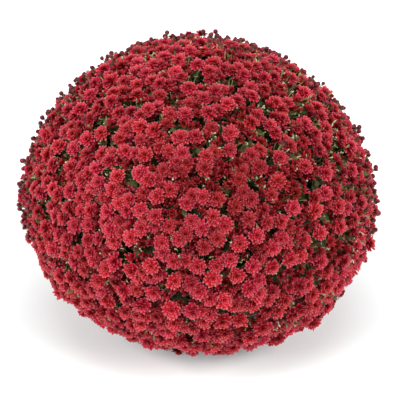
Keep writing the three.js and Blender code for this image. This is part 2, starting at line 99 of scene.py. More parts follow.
BRANCHES = [
    ([[0,0,158],[0.6,-0.8,171],[1.3,-1.6,184],[1.6,-2,197.1],[0.6,-1.3,210.1],[-1.3,0.3,222.9],[-2,1.1,235.9],[-1.2,1,249],[-0.2,0.7,262]],
     [[-0.7,0.8,253],[2.1,1.9,279.7],[12.4,12.5,302.6],[23.7,24.6,324.4],[34.9,36.5,346.2],[44.3,46.4,369.9],[52.1,54.5,394.7]],
     [[-0.7,0.8,253],[-0.9,2.2,280.1],[-12.3,13.9,302.7],[-25.2,27.1,323.6],[-38.1,40.1,344.7],[-49,51.1,367.9],[-58,60.1,392.7]],
     [[-0.7,0.8,253],[-0.7,-0.9,279.5],[-11.2,-11.3,302.2],[-23.4,-22.9,323.5],[-35.4,-34.3,344.9],[-45.4,-44,368.1],[-53.7,-52.1,392.6]],
     [[-0.7,0.8,253],[2.3,-1,279.6],[13.6,-11.6,302.1],[26.1,-23.6,323.2],[38.4,-35.4,344.5],[48.8,-45.5,367.7],[57.4,-53.8,392.2]]),
    ([[-13.8,-5.8,155],[-24.5,-11.8,164],[-35.1,-17.6,172.9],[-46.1,-22.7,182],[-57.4,-27.1,191.1],[-68.8,-31.2,200.1],[-80.2,-35.4,209.1],[-91.7,-39.4,218.1],[-103.2,-43.4,227]],
     [[-96.4,-41,221.7],[-111.8,-45.1,232.8],[-127.8,-32.8,234.5],[-142.5,-18.9,234.2],[-157.9,-5.6,233.2],[-176.5,1.6,232.5],[-196.6,-0.1,231.6]],
     [[-96.4,-41,221.7],[-108.4,-45.2,231.1],[-120.4,-55.6,232.8],[-131.7,-67,232],[-143.1,-78.2,230.8],[-156,-87.8,229.9],[-170.2,-95.2,228.9]],
     [[-96.4,-41,221.7],[-111.2,-46.7,235.3],[-112.2,-51.5,256.2],[-111,-56,277.3],[-110.8,-61.1,298.2],[-119.3,-68.9,315.6],[-136.8,-78.5,323.6]],
     [[-96.4,-41,221.7],[-112.2,-47.7,232.1],[-124.9,-62.9,224.7],[-135.6,-77.9,214.3],[-145.7,-92.1,202.2],[-155.2,-102.7,186.7],[-162,-106.3,166.9]]),
    ([[-4.7,-14.3,155],[-9.7,-25.2,163.9],[-14.6,-36.2,172.8],[-18.8,-47.5,181.7],[-22.4,-59.2,190.3],[-25.5,-70.7,199.5],[-28.3,-81.2,209.8],[-30.7,-91,220.9],[-33.1,-100.7,232]],
     [[-31.6,-94.7,225.4],[-35,-106.7,238.2],[-49.3,-118.1,237.9],[-64.3,-128.2,234.7],[-79,-138.7,231.1],[-91.3,-152,228.9],[-99.9,-168.3,228]],
     [[-31.6,-94.7,225.4],[-36.3,-110.5,238.7],[-46.3,-129.1,230.2],[-56.1,-146.1,218.3],[-65.3,-161.9,204.6],[-72.2,-174.7,187.2],[-74,-179.9,165]],
     [[-31.6,-94.7,225.4],[-34.9,-107.7,241],[-37.3,-111.4,261.3],[-39.5,-113.5,281.9],[-42.1,-116.9,302.2],[-46.9,-127.7,318.6],[-53.3,-145.7,326.9]],
     [[-31.6,-94.7,225.4],[-34,-107.8,238.7],[-24.4,-124.6,239.4],[-13.4,-140.6,237.4],[-3.2,-157,234.8],[2.3,-175.4,233.4],[1.1,-194.9,232.7]]),
    ([[6.5,-13.5,155],[12.8,-23.6,163.8],[19.1,-33.7,172.5],[24.7,-44.1,181.4],[29.5,-54.8,190.5],[34.1,-65.7,199.3],[38.9,-77.1,207.3],[43.8,-89,214.7],[48.6,-100.9,222]],
     [[45.7,-93.7,217.4],[51.5,-111.9,226.7],[47.1,-133.4,222.8],[41.1,-153.8,216.1],[35.3,-173.4,207.2],[32.7,-189.6,192.7],[34.9,-196.5,171.6]],
     [[45.7,-93.7,217.4],[52,-110.6,231.2],[48.9,-113.1,254.7],[44.6,-113.5,278.2],[40.8,-115.2,301.8],[41.8,-126.1,321.9],[49,-146.6,331.9]],
     [[45.7,-93.7,217.4],[50.9,-106.4,225.6],[61,-118.1,229.8],[72.1,-129.3,232.7],[83.2,-140.7,235],[92.8,-153.4,236.1],[100.6,-167.4,235.2]],
     [[45.7,-93.7,217.4],[55,-111,226.9],[75.3,-121.2,223.2],[95.9,-129.4,216.9],[115.8,-137.2,208.3],[130.7,-145,193.4],[134,-150.4,171.2]]),
    ([[14.2,-4.8,155],[24.8,-9.8,163.6],[35.4,-14.7,172.3],[46.3,-19,180.9],[57.5,-22.5,189.5],[68.7,-25.7,198.2],[79.5,-28.7,207.5],[89.9,-31.4,217.2],[100.4,-34.1,227]],
     [[93.9,-32.4,221],[108.4,-37,236.2],[110.6,-44.8,256.7],[110.8,-53.2,277.1],[112.2,-62.1,297.2],[121.9,-72.2,313.5],[139.9,-82,321.5]],
     [[93.9,-32.4,221],[107.4,-36.4,232.9],[120.4,-50.2,232.2],[132.1,-64.8,228.7],[144.1,-79,224.8],[158.6,-91,222.2],[175.4,-99.8,220.5]],
     [[93.9,-32.4,221],[111.4,-36.8,233.3],[133.2,-40.7,226.4],[153.8,-44.3,216.1],[173.2,-47.6,203.7],[188.1,-50.5,186.5],[192.5,-52,163.8]],
     [[93.9,-32.4,221],[107.6,-35.4,233.1],[124.2,-27,236.6],[140.3,-16.9,237.9],[156.8,-7.5,238.5],[175,-2.9,239.1],[193.9,-4.6,238.7]]),
    ([[13.5,6.5,155],[24.1,13.2,164.2],[34.7,19.8,173.4],[45.7,25.6,182.6],[57.2,30.7,191.8],[68.5,35.5,201.3],[79.4,40.1,211.3],[90.1,44.5,221.6],[100.8,48.9,232]],
     [[94.5,46.3,226.1],[109,51.1,242.2],[112,43.2,263.7],[113.3,33.8,284.8],[115.9,24.7,306],[127.2,21.1,324.8],[147.3,25.6,335.5]],
     [[94.5,46.3,226.1],[110.7,51.9,238.2],[131.9,51.1,231.1],[151.6,49.4,220.7],[170.4,47.9,208.6],[186.7,48.6,193.5],[197.2,52.1,174.1]],
     [[94.5,46.3,226.1],[105.5,50.8,236.6],[118.6,60,238.3],[131.3,69.8,237.4],[144.1,79.4,235.9],[157.6,88.2,235.2],[171.8,95.7,234.8]],
     [[94.5,46.3,226.1],[110.6,56.8,238.6],[117.9,80.2,231.7],[123,103.1,221.6],[127.8,124.9,209.3],[133.1,141.2,191],[137.3,143.7,166]]),
    ([[5.3,14,155],[10.4,24.2,163.4],[15.6,34.4,171.8],[20.1,44.8,180.2],[23.9,55.4,188.8],[27.4,66.2,197.3],[30.8,77.1,205.6],[34,88.1,213.8],[37.3,99.2,222]],
     [[35.2,92.2,216.8],[41.6,108.3,231.9],[52.7,106.1,253.4],[64,101.3,274.3],[76.1,97.8,295],[90.1,104.3,312.7],[103.5,122.2,321.9]],
     [[35.2,92.2,216.8],[39.5,106,226.9],[52.2,118.2,229.6],[66.2,129.3,230.3],[79.9,140.8,230.4],[91.3,154.5,230.1],[99.7,170.2,228.8]],
     [[35.2,92.2,216.8],[39.6,110,227.6],[38.1,131.9,224.3],[35.8,153.1,217.9],[33.6,173.5,209.3],[33.2,190.3,195.4],[35.3,198.6,174.9]],
     [[35.2,92.2,216.8],[38.7,109.9,233.4],[29.1,112.9,257.2],[18,113.9,280.7],[7.3,116.5,304.2],[1.4,129.2,325],[3,152.2,337]]),
    ([[-5.6,13.9,155],[-11.3,24.7,164],[-17,35.4,172.9],[-21.9,46.5,182],[-26.1,57.8,191.1],[-30,69.3,200.1],[-34,80.8,209.1],[-37.8,92.4,218.1],[-41.6,104,227]],
     [[-39.3,97.1,221.7],[-43.2,111.9,232.6],[-31.6,127,236],[-18.1,140.9,237.5],[-5.3,155.5,238.3],[1.8,173.2,239],[0.2,192.6,238.6]],
     [[-39.3,97.1,221.7],[-45,113.7,232],[-52.1,131.9,223],[-58.7,148.4,210.7],[-64.8,163.7,196.8],[-69.6,175.8,179.8],[-71.7,180.8,158.9]],
     [[-39.3,97.1,221.7],[-43.8,110.3,231.7],[-55.1,123.4,231.5],[-67.2,135.7,228.7],[-79.1,148.1,225.6],[-89.3,162.1,223.4],[-97.2,177.5,221.9]],
     [[-39.3,97.1,221.7],[-45.7,112.2,235.8],[-56,110.9,255.8],[-66.5,107,275.5],[-77.8,104.4,294.9],[-90.8,110.9,311.2],[-103.2,128,319.2]]),
    ([[-14.2,5,155],[-25,10.2,163.9],[-35.9,15.3,172.8],[-47.1,19.8,181.7],[-58.8,23.5,190.3],[-70.2,26.9,199.5],[-80.6,29.9,209.8],[-90.4,32.5,220.9],[-100,35,232]],
     [[-94.1,33.4,225.4],[-110.2,40.3,239.4],[-124,59.3,232.6],[-136.1,78.2,222.4],[-147.5,96.1,210.1],[-158.4,109.5,193.1],[-165.6,113.2,169.9]],
     [[-94.1,33.4,225.4],[-105.9,37,238.1],[-118,50.3,239.3],[-129.1,64.6,237.5],[-140.5,78.6,235.3],[-154.3,90.2,234.2],[-170.4,98.5,233.6]],
     [[-94.1,33.4,225.4],[-107.7,36.6,242],[-112.5,32.5,263.1],[-115.9,27.3,284.3],[-120.7,22.5,305.2],[-133.1,21.5,322.6],[-152.7,25.2,332]],
     [[-94.1,33.4,225.4],[-111.6,35.7,239.3],[-133.2,26.4,231.8],[-153,16.5,220.8],[-171.8,7.1,207.8],[-187.7,1.4,190.2],[-195.1,2.6,166.6]]),
]


# Where the blooms, buds and leaves on the photographed side sit, measured off the photograph: place in its
# 400 x 400 frame and, for the open blooms, their size over a middling bloom. The uppermost come first.
SEEN_OPEN = [
    (293.1, 207.7, 96), (155.8, 196.1, 108), (130.2, 236.8, 120), (150.5, 265.9, 108), (152.8, 128.6, 96), (230, 132.4, 108), (256.8, 235.4, 96),
    (248.7, 218.3, 96), (140.1, 227.7, 108), (141.1, 323.3, 84), (174.6, 280.9, 96), (138.8, 172.1, 108), (192.1, 311.9, 120), (208.2, 111.2, 96),
    (251.7, 121.2, 108), (186.6, 202.3, 96), (66.9, 109.1, 72), (112.8, 240.6, 108), (325.9, 92, 72), (200.9, 227.9, 96), (146.7, 178.9, 108),
    (212.6, 278, 120), (223.6, 299.9, 108), (161.2, 242.4, 96), (290.3, 258.8, 96), (52, 188.4, 84), (252.9, 265.9, 84), (217, 238, 96),
    (212.8, 216.3, 96), (179.9, 136.6, 120), (188, 86.3, 96), (239.5, 243.7, 108), (181.6, 152.6, 108), (197.9, 291.4, 120), (216, 198.2, 96),
    (108.9, 229.2, 120), (105, 299.1, 120), (122, 289.5, 108), (140.4, 305.9, 120), (174.8, 71.4, 72), (112.7, 261.3, 120), (204.4, 247, 96),
    (147.2, 108.2, 72), (184.9, 233.5, 96), (117.6, 111.7, 72), (130.7, 271.2, 108), (236.1, 275.7, 96), (111.9, 187, 120), (119.3, 137.1, 96),
    (203.7, 167.1, 108), (226.7, 102.9, 96), (86.2, 239, 72), (197, 266.5, 96), (144, 153.7, 96), (100.2, 132, 72), (313.4, 322.1, 96),
    (215.1, 90, 96), (272.4, 248.2, 108), (202, 196.4, 96), (161.7, 252.2, 108), (108.2, 159.6, 108), (146.9, 341.2, 96), (151.6, 79.3, 72),
    (257, 114.7, 72), (54.9, 215.4, 96), (205.8, 155.8, 96), (94.1, 167.6, 84), (116, 175.5, 84), (222.1, 321.5, 108), (172.5, 261, 96),
    (239.1, 320.1, 84), (209.3, 70.1, 72), (60.8, 105.8, 84), (152.6, 292.6, 96), (137.2, 62, 72), (315.8, 210.2, 108), (86, 138.2, 108),
    (58.3, 233.4, 108), (97.8, 281, 96), (171.1, 309.7, 108), (154.2, 215.5, 96), (113.6, 327.7, 96), (59.2, 275.3, 84), (110, 100, 84),
    (366.7, 166.4, 72), (68.3, 189.9, 72), (46.5, 182.6, 72), (58.5, 291.6, 72), (272, 267.4, 96), (173.7, 322.6, 108), (69.6, 278, 84),
    (52.4, 249.1, 96), (299.8, 255.2, 96), (106.1, 211.6, 96), (139.8, 114.4, 96), (44.5, 134.9, 96), (191.1, 195.1, 84), (229.5, 258.9, 96),
    (178.3, 58.4, 72), (312.3, 293.9, 72), (249.7, 344.8, 72), (281.1, 220.9, 96), (163.4, 55.8, 84), (249.5, 337.6, 72), (105.3, 267.9, 96),
    (215.6, 266.1, 72), (139.8, 210.2, 84), (89.2, 252.2, 72), (326.5, 305.7, 84), (243.3, 192.1, 72), (135.2, 50.1, 72), (125.5, 128.5, 84),
    (128.1, 332, 84), (269.9, 123.8, 72), (197.8, 62.9, 72), (83.7, 76.9, 84), (305, 165.4, 84), (162.3, 338.9, 120), (264, 76, 72),
    (251.7, 94.6, 72), (112.9, 91.4, 84), (169.6, 338.3, 72), (127.8, 198.7, 84), (184.5, 261, 108), (130.3, 58, 72), (69.7, 165.7, 96),
    (275.9, 131, 72), (92.1, 187.1, 72), (251, 199, 108), (56.9, 193.4, 84), (214, 344.5, 72), (132.2, 324.9, 96), (232.5, 347.1, 72),
    (208, 347.2, 84), (277.7, 179.6, 108), (90.7, 311.9, 96), (251.6, 154.7, 96), (57.1, 144.6, 84), (253.6, 303.6, 84), (178.8, 239, 96),
    (304.7, 122.1, 84), (320.3, 232.3, 96), (326.6, 286.2, 96), (89.1, 93.9, 72), (158.4, 82.2, 72), (257.7, 293, 120), (142.9, 315.2, 84),
    (374.2, 210.4, 72), (152.4, 325.8, 84), (325.1, 192, 96), (79.5, 107.3, 72), (231, 44.1, 72), (97.4, 181.9, 84), (28.8, 168.9, 108),
    (125.1, 311.8, 72), (168.6, 331.2, 72), (262.3, 328.3, 108), (30.1, 180.9, 72), (271.7, 59, 96), (279.9, 157.3, 96), (250.2, 288.3, 108),
    (164.1, 42.3, 72), (168.4, 150.2, 72), (291, 68, 96), (124.4, 121.1, 72), (235.4, 206.7, 96), (47.6, 273.3, 72), (103.6, 312.9, 72),
    (185, 346.1, 72), (118.3, 203.1, 96), (125.2, 150.1, 120), (223.8, 225.6, 120), (217.9, 52.4, 72), (103.9, 221.7, 72), (77.9, 286.1, 96),
    (43, 246.8, 72), (340.2, 225.9, 96), (80.3, 210.6, 72), (284, 300.8, 96), (361.4, 202.4, 72), (126, 209.6, 120), (101.3, 152.5, 84),
    (277.6, 338, 72), (141.6, 271.1, 84), (214.5, 151.9, 84), (337.9, 205.3, 96), (169.6, 189, 96), (33.9, 187.9, 72), (243.6, 92.7, 72),
    (176.4, 161.2, 96), (77.1, 302.1, 72), (161.4, 329.1, 72), (229.6, 149.6, 72), (275.8, 101.1, 84), (87.4, 224.3, 72), (350.2, 144.8, 108),
    (351.5, 168.9, 84), (136.2, 277, 72), (125.9, 299.2, 84), (195.4, 134.9, 96), (238, 67.6, 84), (80.7, 179.1, 96), (211.3, 127.1, 72),
    (280.2, 239, 96), (139.8, 125.3, 96), (61.9, 217, 72), (190.9, 220.7, 72), (94, 81.6, 72), (123.1, 81.1, 72), (300.3, 310.6, 72),
    (66.9, 207, 96), (180.6, 169.2, 84), (103, 68.8, 120), (325.7, 172.1, 108), (87.8, 172, 96), (289.7, 144.3, 72), (73, 147.3, 72),
    (288.5, 329.8, 72), (341.6, 136.9, 72), (306.1, 307.9, 72), (92.8, 258.8, 84), (259.2, 166.2, 96), (21.9, 196.1, 72), (247.7, 66.1, 84),
    (136.6, 83.6, 84), (111.9, 152.9, 72), (286.9, 241.2, 72), (46.1, 154.8, 108), (370, 242.8, 72), (315.3, 132.3, 72), (119.8, 192, 108),
    (137.1, 93.4, 96), (86.5, 301, 108), (37.1, 211, 72), (365.5, 174.5, 84), (152.9, 62.9, 72), (65.4, 130.9, 108), (337.7, 284.8, 96),
    (38.9, 192, 72), (120.2, 231.6, 108), (298.1, 72.7, 84), (341, 116.5, 84), (163.2, 168.6, 96), (77.9, 252.1, 72), (160.4, 48.7, 72),
    (259.9, 338.4, 96), (193.7, 345.6, 84), (36.9, 246.3, 84), (244.4, 47.1, 84), (89, 209.1, 84), (317.4, 106.5, 96), (156, 44, 72),
    (213.7, 61.8, 120), (333, 106.9, 72), (344.1, 261.3, 84), (287.2, 101.9, 72), (137.1, 314.5, 72), (359.1, 153.7, 96), (131.1, 124.6, 72),
    (268.1, 221.8, 72), (140.5, 139.1, 72), (359.7, 256.1, 108), (202.8, 97, 96), (168, 49.1, 72), (208.5, 313.8, 84), (365.2, 218.6, 84),
    (64.8, 251.8, 72), (317.9, 314, 96), (109.5, 78.9, 120), (71.1, 125.9, 72), (345.8, 277.3, 84), (345.6, 124.2, 72), (201.6, 310.3, 72),
    (227.4, 348.9, 72), (314.9, 197.6, 108), (139.1, 69.2, 72), (141.4, 47, 72), (320.9, 261.4, 84), (92.8, 74.3, 84), (237.4, 99.5, 120),
    (238, 178.7, 96), (131.2, 109.9, 96), (169.6, 113.9, 96), (65.4, 245, 72), (119.1, 221.1, 108), (201.6, 42.3, 120), (97.8, 237.7, 72),
    (168.5, 226.1, 96), (134.3, 152.6, 72), (73.7, 225.2, 96), (93.1, 290.3, 120), (272.5, 338.1, 72), (321.3, 115, 96), (55.4, 282.5, 96),
    (145.3, 72.5, 84), (346.2, 207.9, 72), (332.6, 279.6, 72), (157.5, 273.8, 96), (44.3, 227.4, 108), (136, 288.8, 72), (243.2, 73.7, 96),
    (218.8, 350.2, 72), (171.9, 169.4, 84), (100.6, 289.2, 72), (320, 94.8, 72), (144.6, 218, 96), (175.6, 49.3, 72), (160, 145.2, 84),
    (112.4, 313.8, 96), (89.3, 116.7, 72), (307.1, 285, 72), (259.8, 149, 96), (34.4, 229.5, 84), (189.7, 49.6, 84), (82.2, 188.6, 72),
    (51.8, 163.1, 84), (70.3, 297.6, 72), (300.5, 286.9, 108), (53.2, 115.7, 84), (209.1, 198.1, 72), (212.3, 228.9, 108), (166.2, 122.9, 72),
    (184.7, 113, 96), (239.8, 304.6, 72), (201.3, 335.4, 108), (85.2, 291.8, 72), (183.4, 326.2, 72), (71, 174.9, 72), (193.9, 38.9, 72),
    (222, 88.3, 72), (325.9, 127.7, 72), (262.2, 64.1, 84), (279.9, 86.7, 72), (281.2, 107.7, 84), (158.9, 94, 72), (242.1, 126, 108),
    (73.7, 260.1, 108), (335.5, 189.2, 96), (148.6, 45, 72), (249.6, 87.2, 84), (143.1, 192.4, 96), (263.9, 209.4, 84), (185.8, 162.4, 108),
    (268.3, 309.7, 108), (86, 151.8, 72), (296.7, 124.7, 72), (182.6, 44.3, 96), (151.3, 276.9, 72), (326.2, 271.7, 72), (367.8, 182.4, 72),
    (277.5, 309.7, 108), (180.7, 75.4, 72), (284.8, 139.4, 72), (315.5, 90.8, 72), (257.9, 280.5, 84), (254.2, 65.4, 72), (203.5, 321, 72),
    (355.9, 139.3, 72), (271.7, 292.2, 72), (95.9, 107.9, 72), (191.1, 284.2, 96), (263.6, 87.3, 72), (71.9, 132.6, 72), (130.1, 79.9, 72),
    (245.7, 304.2, 84), (66, 236.6, 72), (353.7, 218.8, 72), (28.6, 200.6, 72), (239.9, 199.1, 84), (304.6, 91.9, 96), (270.9, 194.3, 84),
    (154.6, 224.7, 96), (366.4, 208.1, 84), (303.8, 239.2, 72), (279.8, 61.9, 72), (65.1, 293.9, 72), (44.5, 261.8, 96), (365.7, 194, 84),
    (189, 103, 84), (62.2, 282.2, 72), (84.1, 269.8, 72), (83, 163, 84), (242, 170, 84), (288, 226, 84), (133, 337, 84),
    (79, 169, 84), (88, 193, 84), (218, 109, 84), (245, 159, 84), (40, 238, 84), (192, 328, 84), (195, 95, 84),
    (211, 77, 84), (259, 259, 84), (161, 323, 84), (156, 106, 84), (122, 90, 84), (350, 197, 84), (134, 71, 84),
    (232, 69, 84), (106, 251, 84), (319, 148, 84), (93, 244, 84), (46, 175, 84), (209, 298, 84), (160, 135, 84),
    (282, 117, 84), (267, 299, 84), (234, 305, 84), (158, 178, 84), (52, 207, 84), (103, 197, 84), (156, 316, 84),
    (80, 197, 84), (224, 67, 84), (166, 83, 84), (121, 64, 84), (314, 305, 84), (315, 141, 84), (114, 273, 84),
    (217, 336, 84), (49, 238, 84), (80, 124, 84), (114, 281, 84), (74, 114, 84), (39, 163, 84), (325, 137, 84),
    (274, 75, 84), (240, 340, 84), (294, 314, 84), (100, 102, 84), (53, 129, 84), (151, 139, 84), (177, 341, 84),
    (164, 75, 84), (161, 63, 84), (339, 216, 84), (88, 233, 84), (224, 333, 84),
]
SEEN_HALF = [
    (240, 293), (292, 280), (148, 89), (314, 256), (184, 179), (229, 290), (301, 218), (219, 163), (304, 140), (331, 231), (181, 272),
    (197, 239), (131, 257), (266, 96), (246, 110), (297, 230), (333, 249), (190, 185), (296, 192), (284, 283), (141, 243), (162, 302),
    (195, 252), (315, 223), (145, 256), (289, 177), (165, 212), (234, 332), (255, 250), (212, 327), (230, 88), (354, 230), (291, 168),
    (318, 272), (107, 109), (262, 192), (213, 175), (327, 203), (88, 104), (304, 189), (254, 76), (177, 89), (179, 187), (210, 184),
    (122, 322), (167, 200), (93, 218), (239, 55), (208, 207), (238, 230), (183, 66), (220, 289), (304, 210), (76, 271), (222, 189),
    (271, 321), (144, 285), (262, 271), (153, 307), (189, 143), (368, 234), (95, 143), (305, 150), (289, 271), (283, 319), (278, 203),
    (270, 172), (307, 227), (165, 102), (227, 166), (281, 291), (255, 210), (275, 284), (294, 184), (310, 114), (281, 330), (341, 270),
    (354, 208), (185, 292), (198, 54), (73, 214), (353, 179), (335, 262), (328, 256), (292, 248), (198, 113), (260, 218), (179, 224),
    (226, 114), (160, 155), (177, 207), (59, 122), (305, 299), (310, 274), (275, 139), (112, 122), (81, 219), (155, 71), (75, 157),
    (290, 288), (189, 274), (208, 264), (331, 241), (246, 235), (339, 163), (304, 174), (215, 143), (315, 168), (333, 179), (115, 297),
    (93, 158), (84, 260), (170, 140), (260, 317), (235, 189), (132, 220), (187, 250), (297, 87), (190, 125), (37, 145), (160, 232),
    (232, 60), (181, 315), (240, 137), (134, 297), (138, 262), (260, 139), (221, 76), (61, 161), (141, 333), (214, 43), (202, 211),
    (261, 245), (345, 251), (243, 331), (97, 90), (152, 169), (223, 156), (283, 95), (75, 187), (129, 138), (261, 123), (220, 254),
    (84, 280), (250, 243), (55, 180), (55, 268), (271, 214), (126, 164), (274, 114), (105, 321), (106, 127), (268, 258), (129, 97),
    (282, 275), (331, 119), (161, 187), (262, 228), (236, 163), (207, 53), (348, 224), (166, 159), (75, 206), (110, 289), (132, 192),
    (298, 144), (230, 340), (284, 250), (246, 272), (360, 182), (151, 116), (97, 304), (217, 118), (307, 132), (232, 235), (192, 244),
    (53, 138), (83, 246), (97, 272), (78, 88), (286, 311), (72, 235), (119, 73), (166, 295), (184, 280), (364, 227), (250, 173),
    (292, 107), (242, 284), (121, 267), (97, 204), (199, 143), (199, 87), (194, 167), (202, 304), (69, 286), (146, 164), (195, 180),
    (253, 227), (213, 100), (175, 81), (177, 178), (142, 201), (307, 315), (172, 41), (227, 201), (258, 83), (206, 237), (349, 132),
    (150, 242), (262, 55), (231, 216), (338, 255), (291, 198), (79, 143), (174, 146), (208, 288), (65, 178), (138, 161), (120, 99),
    (183, 96), (188, 72), (95, 117), (228, 183), (267, 240), (193, 301), (274, 93), (104, 181), (170, 243), (67, 219), (290, 84),
    (329, 266), (96, 226), (134, 133), (290, 234), (25, 189), (325, 155), (303, 247), (223, 343), (153, 235), (54, 225), (43, 217),
    (79, 133), (39, 173), (321, 299), (234, 297), (269, 104), (113, 67), (304, 81), (172, 252), (143, 294), (350, 155), (310, 124),
    (258, 92), (241, 84), (102, 261), (62, 140), (250, 133), (61, 114), (172, 212), (26, 214), (101, 84), (232, 51), (103, 242),
    (150, 99), (296, 240), (332, 168), (171, 289), (335, 157), (254, 323), (84, 115), (320, 252), (297, 172), (296, 163), (333, 198),
    (220, 171), (344, 170), (279, 229), (162, 219), (215, 189), (253, 108), (152, 283), (242, 116), (311, 174), (155, 88), (185, 191),
    (194, 259), (67, 100), (359, 194), (338, 244), (130, 283), (205, 63), (226, 95), (285, 203), (232, 251), (183, 54), (214, 307),
    (221, 138), (232, 324), (219, 261), (31, 195), (229, 174), (310, 86), (183, 121), (229, 143), (101, 189), (309, 216), (266, 286),
    (328, 145), (93, 135), (119, 120), (72, 93), (326, 163), (289, 190), (327, 100), (34, 152), (286, 214), (232, 121), (359, 213),
    (223, 42), (270, 82), (90, 180), (92, 150), (88, 128), (205, 219), (129, 306), (198, 323), (114, 212), (313, 151), (122, 278),
    (267, 277), (38, 181), (145, 146), (118, 159), (117, 106), (144, 278), (53, 150), (85, 204), (174, 199), (208, 88), (212, 164),
    (186, 132), (42, 196), (337, 124), (65, 227), (193, 231), (326, 225), (263, 252), (144, 133), (144, 82), (195, 203), (282, 127),
    (152, 186), (161, 309), (236, 78), (297, 98), (359, 168), (127, 69), (205, 134), (164, 280), (336, 275), (240, 216), (143, 236),
    (110, 199), (97, 175), (252, 331), (277, 188), (122, 183), (261, 157), (349, 215), (287, 76), (178, 303), (104, 92), (97, 212),
    (371, 189), (315, 264), (156, 207), (215, 295), (97, 253), (248, 56), (307, 259), (269, 185), (148, 319), (196, 105), (248, 296),
    (235, 286), (34, 206), (59, 243), (101, 166), (325, 279), (331, 210), (206, 190), (186, 224), (298, 319), (113, 114), (94, 99),
    (187, 339), (355, 162), (270, 69), (165, 316), (65, 169), (167, 235), (150, 300), (310, 162), (357, 248), (164, 110), (155, 258),
    (309, 251), (323, 209), (340, 143), (223, 60), (319, 288), (46, 124), (195, 160), (304, 279), (284, 171), (180, 287), (32, 223),
    (62, 189), (340, 132), (303, 234), (244, 226), (211, 320), (135, 201), (236, 154), (213, 252), (129, 291), (210, 337), (308, 107),
    (115, 249), (334, 224), (125, 116), (362, 238), (220, 100), (215, 208), (241, 62), (259, 180), (341, 180), (64, 273), (129, 89),
    (205, 327), (121, 243), (102, 233), (253, 48), (302, 158), (128, 226), (44, 188), (290, 295), (60, 209), (77, 278), (169, 66),
    (162, 264), (154, 150), (181, 103), (105, 277), (327, 183), (260, 204), (216, 70), (285, 184), (110, 149), (196, 276), (296, 223),
]
SEEN_BUD = [
    (211, 34), (172, 35), (183, 36), (228, 38), (165, 39), (193, 40), (209, 40), (218, 40), (238, 40), (149, 42), (155, 43),
    (171, 43), (181, 43), (220, 44), (231, 46), (255, 46), (238, 47), (245, 47), (175, 48), (266, 48), (135, 49), (250, 49),
    (145, 50), (272, 54), (259, 57), (114, 58), (270, 60), (281, 61), (286, 62), (111, 64), (292, 67), (92, 71), (298, 71),
    (99, 74), (83, 76), (304, 80), (87, 83), (309, 84), (316, 85), (82, 87), (73, 91), (317, 91), (326, 92), (61, 98),
    (68, 99), (334, 100), (326, 102), (60, 106), (332, 107), (342, 107), (56, 110), (47, 113), (342, 117), (46, 121), (50, 124),
    (345, 124), (43, 127), (351, 132), (347, 135), (40, 137), (357, 138), (41, 143), (31, 150), (367, 152), (358, 153), (31, 155),
    (33, 160), (367, 160), (362, 162), (368, 166), (25, 176), (369, 177), (30, 180), (21, 182), (367, 182), (27, 186), (368, 188),
    (374, 192), (372, 197), (29, 201), (369, 201), (23, 203), (27, 208), (367, 209), (28, 211), (22, 216), (365, 219), (373, 219),
    (28, 224), (365, 225), (36, 228), (375, 229), (368, 236), (32, 238), (364, 248), (42, 254), (361, 256), (44, 258), (365, 260),
    (354, 263), (346, 279), (54, 283), (335, 285), (330, 294), (322, 306), (320, 315), (106, 319), (299, 320), (291, 322), (115, 327),
    (122, 330), (138, 336), (158, 338), (259, 338), (147, 342), (173, 344), (193, 344), (250, 345), (182, 349),
]
SEEN_LEAF = [
    (249, 142), (104, 118), (104, 142), (53, 260), (76, 296), (116, 307), (315, 184), (264, 132), (122, 250), (45, 204), (65, 153),
    (110, 143), (350, 241), (341, 152), (341, 239), (47, 263), (300, 112), (87, 74), (332, 291), (58, 172), (223, 208), (258, 103),
    (314, 285), (146, 56), (160, 116), (215, 135), (308, 98), (199, 73), (338, 104), (170, 129), (175, 106), (291, 94), (266, 339),
    (345, 189), (297, 298), (129, 179), (335, 145), (152, 330), (330, 221), (25, 180), (175, 97), (322, 217), (361, 243), (184, 330),
    (41, 256), (241, 151), (125, 261), (356, 239), (297, 158), (174, 119), (353, 271), (74, 100),
]
